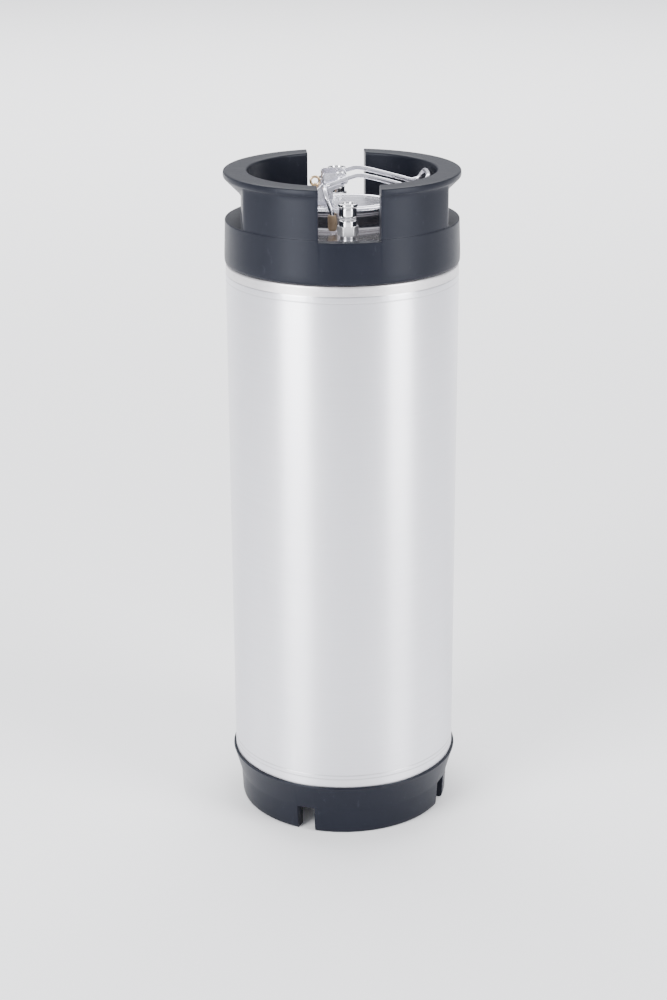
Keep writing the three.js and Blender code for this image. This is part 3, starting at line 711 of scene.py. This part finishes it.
# %% Place the post pieces
for name, side in SIDES.items():
    top = POST_TOPS[name]
    at = {"y": side * POST_Y}
    piece(f"{name}_port", moved(port(), **at), "vessel", "satin_steel")
    piece(f"{name}_post", moved(post(top), **at), "vessel", "polished_steel")
    oring = turned(round_section(6.82, 592.1, 0.5, 24))
    piece(f"{name}_post_oring", moved(oring, **at), "vessel", "clear_silicone")
    piece(f"{name}_poppet", moved(poppet(top), **at), f"{name}_poppet", "polished_steel")
    seal = turned(rounded([[2.6, top - 6.5, 0.2], [4.2, top - 6.5, 0.3], [2.6, top - 5.1, 0.3]],
                          steps=5), 64)
    piece(f"{name}_poppet_seal", moved(seal, **at), f"{name}_poppet", "seal_rubber")
    coil = spring(3.3, 0.4, SPRING_FOOT, top + SPRING_HEAD, 5)
    coil = piece(f"{name}_poppet_spring", moved(coil, **at), "vessel", "spring_steel")
    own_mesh(coil)
    piece(f"{name}_dip_tube", dip_tube(name), "vessel", "satin_steel")

# %% [markdown]
# ## Lid
# The lid is an oval dish. Its flange sits inside the collar and pulls a rubber ring up
# against the collar's lip. From above only its flat top and its rounded rim can be seen. The
# relief valve goes through a round hole near its back.

# %% Lid and its seal
LID_EDGE = -7.8       # offset of the upstand from the collar's outer oval
PLATE_EDGE = LID_EDGE - 8
PLATE_TOP, PLATE_LOW = COLLAR_TOP - 0.35, COLLAR_TOP - 1.6
LID_COLUMNS = 160
PRV_X = -24.5         # place of the relief valve
VALVE_HOLE = 6.1
rim_outline = rounded([
    [PLATE_EDGE, PLATE_TOP, 2],
    [LID_EDGE - 4.5, COLLAR_TOP, 2],
    [LID_EDGE, COLLAR_TOP, 2.2],
    [LID_EDGE, 578.2, 1],
    [-4.0, 578.2, 0.5],
    [-4.0, 576.7, 0.5],
    [LID_EDGE - 1.5, 576.7, 1],
    [LID_EDGE - 1.5, COLLAR_TOP - 1.5, 1.6],
    [PLATE_EDGE, PLATE_LOW, 2],
], steps=6, loop=False)


def lid_plate(z, rows=14):
    """Rows that turn evenly from the valve's hole to the lid's oval:
    point(v, a) = (1 - v) hole(a) + v oval(a)."""
    a = angles(LID_COLUMNS)
    hole = np.stack([PRV_X + VALVE_HOLE * np.cos(a), VALVE_HOLE * np.sin(a)], -1)
    v = np.linspace(0, 1, rows + 1)[:-1, None, None]
    flat = (1 - v) * hole + v * oval(PLATE_EDGE, LID_COLUMNS)
    return np.concatenate([flat, np.full(flat.shape[:2] + (1,), z)], -1)


lid_rows = np.concatenate([
    lid_plate(PLATE_TOP),
    oval_turned(rim_outline, LID_COLUMNS),
    lid_plate(PLATE_LOW)[::-1],
])
piece("lid", grid(lid_rows, loop_rows=True), "lid", "satin_steel")
lid_seal = grid(oval_turned(round_section(-5.6, 580.1, 1.6), LID_COLUMNS), loop_rows=True)
piece("lid_oring", lid_seal, "lid", "seal_rubber")

# %% [markdown]
# ## Bail ears
# The bail hangs on two ears, each a strip of 2 mm sheet folded up from a foot that is spot
# welded to the lid. The strip's mid line is a path in y and z, and its two edges are
# functions of the height, so the slanting back, the level top and the front come from the
# same sweep.

# %% Ears and pins
PIVOT_X, PIVOT_Z = -1.0, 614.0
HEAD_RADIUS = 5.8
EAR_Y, EAR_FOOT = 13.6, 593.3     # mid lines of the upright and of the foot
FOLD = 3.6
TOP_BACK = -18.5      # upright back edge of the ear's top
FRONT, FRONT_STEP = -9, 604.5     # upright front edge, and the height where it slopes out
CORNER_BEND = 2.3
SQUARENESS = 0.28     # power that turns a circle into a rectangle with rounded edges


def ear():
    """Folded strip: its section at station s is a rectangle with rounded edges, from
    x_back(s) to x_front(s), with its thickness across the path."""
    foot = np.stack([np.linspace(20.1, 17.4, 8), np.full(8, EAR_FOOT)], -1)
    fold = np.radians(np.linspace(-90, -180, 12))[1:]
    fold_z, top = EAR_FOOT + FOLD, PIVOT_Z + HEAD_RADIUS - 0.02
    bend = np.stack([EAR_Y + FOLD + FOLD * np.cos(fold), fold_z + FOLD * np.sin(fold)], -1)
    share = np.linspace(0, 1, 60)[1:] ** 0.8
    upright = np.stack([np.full(59, EAR_Y), fold_z + (top - fold_z) * share], -1)
    path = np.concatenate([foot, bend, upright])
    y, z = path.T
    over = z - PIVOT_Z
    dome = np.sqrt(np.maximum(HEAD_RADIUS ** 2 - np.minimum(over, HEAD_RADIUS) ** 2, 0))
    back = np.interp(z, [597.3, 611.0], [-31.0, TOP_BACK])
    corner = np.clip(over - (HEAD_RADIUS - CORNER_BEND), 0, CORNER_BEND)
    back += CORNER_BEND - np.sqrt(CORNER_BEND ** 2 - corner ** 2)
    front = FRONT + np.maximum(z - FRONT_STEP, 0) * (12.47 / 5.8)
    front = np.where(over > -3.7, PIVOT_X + dome, front)
    tangent = np.gradient(path, axis=0)
    tangent /= np.linalg.norm(tangent, axis=1, keepdims=True)
    normal = np.stack([-tangent[:, 1], tangent[:, 0]], -1)
    a = angles(48)
    circle = np.stack([np.cos(a), np.sin(a)], -1)
    square = np.sign(circle) * np.abs(circle) ** SQUARENESS
    half = np.maximum((front - back) / 2, 0.0)
    x = (front + back)[:, None] / 2 + half[:, None] * square[:, 0]
    out = square[:, 1]
    body = np.stack([x, y[:, None] + normal[:, :1] * out, z[:, None] + normal[:, 1:] * out], -1)
    start, stop = body[:1].mean(1, keepdims=True), body[-1:].mean(1, keepdims=True)
    return grid(np.concatenate([start + 0 * body[:1], body, stop + 0 * body[-1:]]))


HINGE_AXES = [[1, 0, 0], [0, 0, -1], [0, 1, 0]]


def on_hinge(outline, columns=64):
    """An outline (r, distance along y) turned about the hinge line, on the +Y side."""
    return moved(tipped(turned(outline, columns), HINGE_AXES), x=PIVOT_X, z=PIVOT_Z)


pin = on_hinge(rounded([
    [0, 10.9, 0], [2.2, 10.9, 0.8], [3.4, 11.6, 0.7], [3.4, 12.3, 0.3], [2.4, 12.3, 0.2],
    [2.4, 18.4, 0.4], [0, 18.4, 0]], steps=5, loop=False))
piece("bail_ear_rear", ear(), "lid", "satin_steel")
piece("bail_ear_front", mirrored(ear()), "lid", "satin_steel")
piece("bail_pin_rear", pin, "lid", "polished_steel")
piece("bail_pin_front", mirrored(pin), "lid", "polished_steel")

# %% [markdown]
# ## Bail
# The bail is one length of 4.3 mm wire. Its handle crosses at the right, its arms run back
# over a hump to the hinge, and its legs turn down to the feet that push on the head. Because
# the feet pass the hinge line as it closes, it locks.

# %% Wire bail
BAIL_WIRE = 2.15
BAIL_HALF = [
    (77, 12, 616.5), (75.8, 17, 615), (71.5, 19.6, 608.5), (66, 20, 606.4), (56, 20, 608.8),
    (24, 20, 617.2), (14, 20, 618.8), (6, 20, 617), (-1, 20, 614.6), (-11, 20, 610.8),
    (-15.6, 22, 609.4), (-17.2, 27, 608.6), (-17.4, 33, 607.2), (-16.6, 38, 603.4),
    (-14.4, 41.2, 597), (-12.2, 43.1, 590.6), (-11.5, 43.5, 586), (-11.5, 43.5, 579.6),
]
bail_points = [(x, -y, z) for x, y, z in BAIL_HALF[::-1]] + BAIL_HALF
boss = on_hinge(rounded([
    [2.6, 15, 0.3], [4.2, 15, 0.5], [4.2, 19.2, 0.6], [3.2, 19.9, 0.5], [2.6, 18.9, 0.2]],
    steps=5))
bail_shape = together(wire(route(bail_points, 18), BAIL_WIRE), boss, mirrored(boss))
piece("bail", bail_shape, "bail", "satin_steel")

# %% Rubber feet
FOOT_X, FOOT_Y = BAIL_HALF[-1][:2]
LEG_LEAN, LEAN_FROM = (0.10, 0.06), 583
foot_outline = rounded([
    [0, 573.8, 0], [2.9, 573.8, 0.9], [3.9, 575.4, 1.4], [4.1, 581, 3], [3.75, 587, 0.8],
    [3, 588.2, 0.6], [2.25, 588, 0.3], [2.25, 584, 0.3], [0, 583.5, 0]], steps=6, loop=False)
foot = moved(turned(foot_outline, 64), x=FOOT_X, y=FOOT_Y)
foot[0][:, :2] -= np.maximum(foot[0][:, 2:] - LEAN_FROM, 0) * LEG_LEAN
piece("bail_foot_rear", foot, "bail", "foot_rubber")
piece("bail_foot_front", mirrored(foot), "bail", "foot_rubber")

# %% [markdown]
# ## Relief valve
# A brass valve in the lid lets the gas out if the pressure climbs, or when its ring is
# pulled. It is turned from hexagon bar, with a knurled cap over the spring.

# %% Relief valve
def knurled(outline, teeth=36, depth=0.22):
    """Turned outline whose widest parts carry fine teeth: the radius is less by
    depth (1 - |sin(a teeth / 2)|), which leaves a groove between two teeth."""
    points, quads = turned(outline, 144)
    x, y, z = points.T
    r, a = np.hypot(x, y), np.arctan2(y, x)
    groove = depth * (1 - np.abs(np.sin(a * teeth / 2))) * ease((r - 5.6) / 0.4)
    scale = np.where(r > 1e-6, 1 - groove / np.maximum(r, 1e-6), 1)
    return np.stack([x * scale, y * scale, z], -1), quads


prv_body = together(
    turned(rounded([[4.3, 588, 0.2], [2.2, 587.6, 0.2], [2.2, 584, 0.3], [5.8, 584, 0.4],
                    [5.8, 593, 0.2], [4.3, 593, 0.2]], steps=4), 96),
    hexed(rounded([[4.3, 592.5, 0.2], [6.6, 592.5, 0.2], [7.6, 593.0, 0.3], [7.6, 596.0, 0.3],
                   [6.6, 596.5, 0.2], [4.3, 596.5, 0.2]], steps=4), 13.2, 8),
    turned(rounded([[4.3, 596.2, 0.2], [6.0, 596.2, 0.3], [6.2, 597.2, 0.4], [6.2, 599.6, 0.4],
                    [5.8, 600, 0.3], [4.3, 600, 0.2]], steps=4), 96))
prv_cap = knurled(rounded([[1.9, 597.4, 0.1], [4.0, 597.4, 0.2], [4.0, 600.2, 0.1],
                           [6.2, 600.2, 0.4], [6.2, 602.9, 0.5], [5.2, 603.7, 0.5],
                           [1.9, 603.7, 0.4]], steps=5))
prv_nut = hexed(rounded([[6.1, 584.6, 0.3], [6.6, 584.6, 0.2], [7.6, 585.2, 0.3],
                         [7.6, 589.6, 0.3], [6.6, 590.2, 0.2], [6.1, 590.2, 0.3]], steps=4),
                13.2, 20)
prv_seal = turned(rounded([[1.2, 588.3, 0.2], [3.6, 588.3, 0.3], [3.6, 589.5, 0.3],
                           [1.2, 589.5, 0.2]], steps=4), 64)
EYE_Z = 606.6
PULL_RADIUS, PULL_SECTION = 4.0, 1.2
PRV_SPRING = (591.3, 597.1)
ACROSS = [[0, 0, -1], [0, 1, 0], [1, 0, 0]]
prv_shaft = turned(rounded([[0, 589.8, 0], [3.8, 589.8, 0.2], [3.8, 591, 0.3], [1.4, 591, 0.2],
                            [1.4, 604.3, 0.3], [0, 604.9, 0]], steps=4, loop=False), 48)
prv_eye = tipped(turned(rounded([[1.5, -1, 0.3], [2.6, -1, 0.3], [2.6, 1, 0.3], [1.5, 1, 0.3]],
                                steps=4), 64), ACROSS)
prv_stem = together(prv_shaft, moved(prv_eye, z=EYE_Z))
pull_ring = tipped(turned(round_section(PULL_RADIUS, 0, PULL_SECTION)), HINGE_AXES)
for name, shape, body, slot in [
        ("prv_body", prv_body, "lid", "brass"),
        ("prv_nut", prv_nut, "lid", "brass"),
        ("prv_cap", prv_cap, "lid", "brass"),
        ("prv_seal", prv_seal, "prv_stem", "seal_rubber"),
        ("prv_stem", prv_stem, "prv_stem", "brass"),
        ("prv_pull_ring", moved(pull_ring, z=EYE_Z + PULL_RADIUS), "prv_pull_ring", "brass")]:
    piece(name, moved(shape, x=PRV_X), body, slot)
prv_coil = moved(spring(2.8, 0.4, *PRV_SPRING, 4), x=PRV_X)
prv_coil = piece("prv_spring", prv_coil, "lid", "spring_steel")
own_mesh(prv_coil)

# %% [markdown]
# ## Finishes
# A finish is a small program that runs at every point of a surface. It is written here as
# arithmetic: a wrapped socket can be added and multiplied, and each operation leaves a node.

# %% A finish as arithmetic
class Value:
    """A number that may change over the surface, wrapped so that it can be calculated with."""
    def __init__(self, finish, socket):
        self.finish, self.socket = finish, socket

    def _math(self, operation, first, second):
        return self.finish.node("ShaderNodeMath", {"operation": operation}, {0: first, 1: second})

    def __add__(self, other): return self._math("ADD", self, other)
    def __radd__(self, other): return self._math("ADD", other, self)
    def __sub__(self, other): return self._math("SUBTRACT", self, other)
    def __rsub__(self, other): return self._math("SUBTRACT", other, self)
    def __mul__(self, other): return self._math("MULTIPLY", self, other)
    def __rmul__(self, other): return self._math("MULTIPLY", other, self)


class Finish:
    """A material. Constants go straight on to the shader's own sockets."""

    def __init__(self, name, **constants):
        self.material = bpy.data.materials.new(name)
        self.material.use_nodes = True
        self.tree = self.material.node_tree
        self.shader = self.tree.nodes["Principled BSDF"]
        for key, value in constants.items():
            self.put(self.shader.inputs[key.replace("_", " ")], value)
        self.place = self.node("ShaderNodeTexCoord", {}, {}, "Object")

    def put(self, socket, value):
        """A link into the socket from a Value, or a constant on it. Colours are opaque."""
        if isinstance(value, Value):
            self.tree.links.new(value.socket, socket)
        else:
            socket.default_value = (*value, 1.0) if socket.type == "RGBA" else value

    def node(self, kind, settings, values, output=0):
        """A node of that kind with its settings, then its input values or links."""
        node = self.tree.nodes.new(kind)
        for key, value in settings.items():
            setattr(node, key, value)
        for key, value in values.items():
            self.put(node.inputs[key], value)
        return Value(self, node.outputs[output])

    def height(self):
        """Metres above the rim of the boot."""
        return self.node("ShaderNodeSeparateXYZ", {}, {"Vector": self.place}, "Z")

    def noise(self, scale, detail=3.0, rough=0.6, turn=(0, 0, 0)):
        """Noise from 0 to 1, with a scale along each axis in cycles per metre."""
        spot = self.node("ShaderNodeMapping", {"vector_type": "POINT"},
                         {"Vector": self.place, "Rotation": turn, "Scale": scale})
        return self.node("ShaderNodeTexNoise", {"noise_dimensions": "3D"},
                         {"Vector": spot, "Scale": 1.0, "Detail": detail, "Roughness": rough})

    def ramp(self, value, low, high):
        """0 below low, 1 above high and straight between."""
        return self.node("ShaderNodeMapRange", {"clamp": True},
                         {"Value": value, "From Min": low, "From Max": high})

    def mix(self, share, first, second):
        """Colour between first and second."""
        return self.node("ShaderNodeMix", {"data_type": "RGBA"},
                         {0: share, 6: first, 7: second}, 2)

    def finish(self, base, rough, relief, depth):
        """The material, with its colour and roughness, and a bump from relief whose full
        range is depth metres."""
        bump = self.node("ShaderNodeBump", {}, {"Height": relief, "Distance": depth,
                                                "Strength": 1.0}, "Normal")
        for key, value in (("Base Color", base), ("Roughness", rough), ("Normal", bump)):
            self.put(self.shader.inputs[key], value)
        return self.material


# %% [markdown]
# ### Stainless steel
# The shell is brushed round and round, so its grain is drawn out along the angle and packed
# close along z. Grain of that kind spreads reflections up and down but keeps them narrow from
# side to side, which an anisotropic shader does. Slow clouds keep the tone from being even,
# and the edges of the welds keep a thin dark line. Pressed parts are smoother and reflect all
# ways alike, and the foot of each post keeps the bar's dull skin.

# %% Satin steel
SEAMS = (0.0604, 0.0643, 0.5225, 0.5285)
SEAM_REACH = 0.0009   # metres from a seam at which its tint has gone


def satin_steel():
    steel = Finish("satin_steel", Metallic=1.0, Anisotropic=0.75, Anisotropic_Rotation=0.25)
    grain = steel.noise((30, 30, 1500), 4.0, 0.6)
    lines = steel.noise((9, 9, 420), 2.0, 0.5)
    cloud = steel.noise((14, 14, 9))
    rub = steel.ramp(steel.noise((160, 160, 22), turn=(0.2, 0.5, 0.3)), 0.60, 0.78)
    tone = 0.55 * cloud + 0.3 * lines + 0.15 * grain
    base = steel.mix(tone, (0.70, 0.70, 0.745), (0.86, 0.86, 0.90))
    height = steel.height()
    for seam in SEAMS:
        off = height - seam
        line = steel.ramp(off * off, SEAM_REACH ** 2, 0.0)
        base = steel.mix(line * (0.20 + 0.35 * cloud), base, (0.34, 0.33, 0.335))
    rough = 0.33 + 0.10 * (cloud - 0.5) + 0.08 * (grain - 0.5) + 0.06 * rub
    relief = 0.6 * grain + 0.4 * lines
    return steel.finish(base, rough, relief, 0.00002)


def pressed_steel():
    steel = Finish("pressed_steel", Metallic=1.0)
    height = steel.height()
    cloud = steel.noise((40, 40, 40))
    fine = steel.noise((900, 900, 900), 2.0, 0.5)
    wipe = steel.ramp(steel.noise((120, 260, 120), turn=(0.1, 0.2, 0.9)), 0.55, 0.78)
    # Painted light: from 584 mm up (the collar's bead, the lid, the ears and the bail) the colour
    # is painted lighter and bluer, as if lit from above. The same mask also makes these parts a
    # little rougher.
    top_painted_light = steel.ramp(height, 0.584, 0.5915)
    skirt = 1 - steel.ramp(height, 0.545, 0.555)
    stain = steel.ramp(steel.noise((70, 70, 190)), 0.42, 0.66)
    base = steel.mix(cloud, (0.70, 0.68, 0.69), (0.80, 0.78, 0.80))
    base = steel.mix(top_painted_light, base, (0.84, 0.835, 0.90))
    base = steel.mix(0.5 * skirt * stain, base, (0.58, 0.57, 0.58))
    rough = 0.20 + 0.07 * top_painted_light + 0.16 * skirt + 0.08 * (cloud - 0.5) + 0.06 * wipe
    relief = 0.8 * cloud + 0.2 * fine
    return steel.finish(base, rough, relief, 0.00006)


def polished_steel():
    steel = Finish("polished_steel", Metallic=1.0)
    grain = steel.noise((60, 60, 2600), 3.0, 0.5)
    cloud = steel.noise((90, 90, 90), 2.0, 0.5)
    base = steel.mix(cloud, (0.80, 0.80, 0.82), (0.90, 0.90, 0.92))
    hexagon = 1 - steel.ramp(steel.height(), 0.5856, 0.5861)
    rough = 0.10 + 0.06 * grain + 0.06 * cloud + 0.30 * hexagon
    return steel.finish(base, rough, grain, 0.000006)


# %% [markdown]
# ### Rubber
# The ring and the boot are black rubber that has bloomed to a blue grey. Moulded rubber has a
# fine tooth, a dull even sheen and a few paler scuffs where kegs knock together.

# %% Rubber
def black_rubber():
    rubber = Finish("black_rubber", Specular_IOR_Level=0.17, Specular_Tint=(0.88, 0.91, 1.0))
    tooth = rubber.noise((1900, 1900, 1900))
    bloom = rubber.noise((16, 16, 20), 4.0, 0.6)
    smear = rubber.noise((60, 60, 14), 3.0, 0.65, (0.3, 0.1, 0.4))
    scuff = rubber.ramp(rubber.noise((210, 210, 75), 4.0, 0.65), 0.63, 0.80)
    shade = 0.6 * bloom + 0.4 * smear
    base = rubber.mix(shade, (0.0048, 0.0058, 0.0100), (0.0100, 0.0114, 0.0178))
    base = rubber.mix(0.40 * scuff, base, (0.040, 0.042, 0.054))
    rough = 0.38 + 0.14 * (bloom - 0.5) + 0.08 * (smear - 0.5) + 0.14 * scuff
    relief = 0.7 * tooth + 0.3 * scuff
    return rubber.finish(base, rough, relief, 0.00004)


def foot_rubber():
    rubber = Finish("foot_rubber", Specular_IOR_Level=0.4)
    cloud = rubber.noise((220, 220, 120))
    tooth = rubber.noise((2400, 2400, 2400), 2.0, 0.5)
    base = rubber.mix(cloud, (0.36, 0.25, 0.155), (0.52, 0.39, 0.26))
    return rubber.finish(base, 0.5 + 0.15 * cloud, tooth, 0.00003)


def brass():
    metal = Finish("brass", Metallic=1.0)
    grain = metal.noise((120, 120, 2400), 3.0, 0.5)
    tarnish = metal.ramp(metal.noise((240, 240, 240)), 0.45, 0.75)
    base = metal.mix(tarnish, (0.80, 0.62, 0.40), (0.50, 0.35, 0.19))
    return metal.finish(base, 0.2 + 0.08 * grain + 0.2 * tarnish, grain, 0.00001)


def clouded(name, cycles, dark, pale, rough, **constants):
    """Small parts: one cloud of noise drives the tone, the relief and the roughness,
    which is rough[0] + rough[1] cloud."""
    small = Finish(name, **constants)
    cloud = small.noise((cycles,) * 3, 2.0, 0.5)
    base = small.mix(cloud, dark, pale)
    return small.finish(base, rough[0] + rough[1] * cloud, cloud, 0.00001)


# %% [markdown]
# ### One finish for each piece
# A piece takes the finish of its slot. The top head, the lid, the ears and the bail share the
# shell's slot, but they are pressed or bent and not brushed.

# %% Give each piece its finish
FINISHES = {make.__name__: make() for make in (
    satin_steel, pressed_steel, polished_steel, black_rubber, foot_rubber, brass)}
FINISHES["spring_steel"] = clouded("spring_steel", 400, (0.50, 0.50, 0.52), (0.66, 0.66, 0.68),
                                   (0.26, 0.12), Metallic=1.0)
FINISHES["seal_rubber"] = clouded("seal_rubber", 300, (0.006, 0.006, 0.007),
                                  (0.014, 0.014, 0.015), (0.34, 0.14), Specular_IOR_Level=0.45)
FINISHES["clear_silicone"] = clouded("clear_silicone", 300, (0.42, 0.42, 0.44),
                                     (0.54, 0.54, 0.56), (0.22, 0.14), Specular_IOR_Level=0.5)
PRESSED = {"top_head", "lid", "bail", "bail_ear_front", "bail_ear_rear"}
for name, made_object in made.items():
    look = "pressed_steel" if name in PRESSED else made_object["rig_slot"]
    made_object.data.materials.clear()
    made_object.data.materials.append(FINISHES[look])
print("finishes:", ", ".join(FINISHES))

# %% [markdown]
# ## Studio
# The keg stands on a plain pale floor between two large soft lights, with a third that lifts
# the floor behind it. A long lens looks down on it by about twenty degrees.

# %% Floor and lights
def soft_light(name, place, aim, size, power):
    data = bpy.data.lights.new(name, "AREA")
    data.shape, data.size, data.size_y = "RECTANGLE", size[0], size[1]
    data.energy = power
    light = placed(name, data)
    light.location = place
    light.rotation_euler = (Vector(aim) - Vector(place)).to_track_quat("-Z", "Y").to_euler()


FLOOR = 30            # half the floor's width in metres
floor_mesh = bpy.data.meshes.new("floor")
floor_mesh.from_pydata([(-FLOOR, -FLOOR, 0), (FLOOR, -FLOOR, 0), (FLOOR, FLOOR, 0),
                        (-FLOOR, FLOOR, 0)], [], [(0, 1, 2, 3)])
placed("floor", floor_mesh)
pale = Finish("floor_pale", Roughness=0.9, Specular_IOR_Level=0.1, Base_Color=(0.95, 0.95, 0.96))
floor_mesh.materials.append(pale.material)

world = bpy.data.worlds.new("studio")
bpy.context.scene.world = world
world.use_nodes = True
world.node_tree.nodes["Background"].inputs["Color"].default_value = (0.93, 0.94, 1.0, 1.0)
world.node_tree.nodes["Background"].inputs["Strength"].default_value = 0.8
soft_light("left_window", (-2.05, -1.75, 1.2), (0, 0, 0.3), (1.35, 2.4), 145)
soft_light("right_window", (2.15, -1.6, 1.2), (0, 0, 0.3), (1.15, 2.4), 105)
soft_light("back_wash", (0, 4.5, 5.0), (0, 5.5, 0), (8, 5), 900)

# %% Camera
TURN = math.radians(3.6)
DISTANCE, HEIGHT = 1.8117, 0.9490
PITCH, ROLL, YAW = 0.3422, -0.0048, 0.0047
SHIFT = -0.0006
LENS = 72.39
camera_data = bpy.data.cameras.new("camera")
camera_data.sensor_fit, camera_data.sensor_height, camera_data.sensor_width = "VERTICAL", 36, 36
camera_data.lens = LENS
camera_data.clip_end = 100
camera = placed("camera", camera_data)
back_turn = Matrix.Rotation(-TURN, 4, "Z")
place = Matrix.Translation((SHIFT, -DISTANCE, HEIGHT))
look = (Matrix.Rotation(YAW, 4, "Z") @ Matrix.Rotation(math.pi / 2 - PITCH, 4, "X")
        @ Matrix.Rotation(ROLL, 4, "Z"))
camera.matrix_world = back_turn @ place @ look
bpy.context.scene.camera = camera
print("camera at", [round(value, 3) for value in camera.matrix_world.translation])
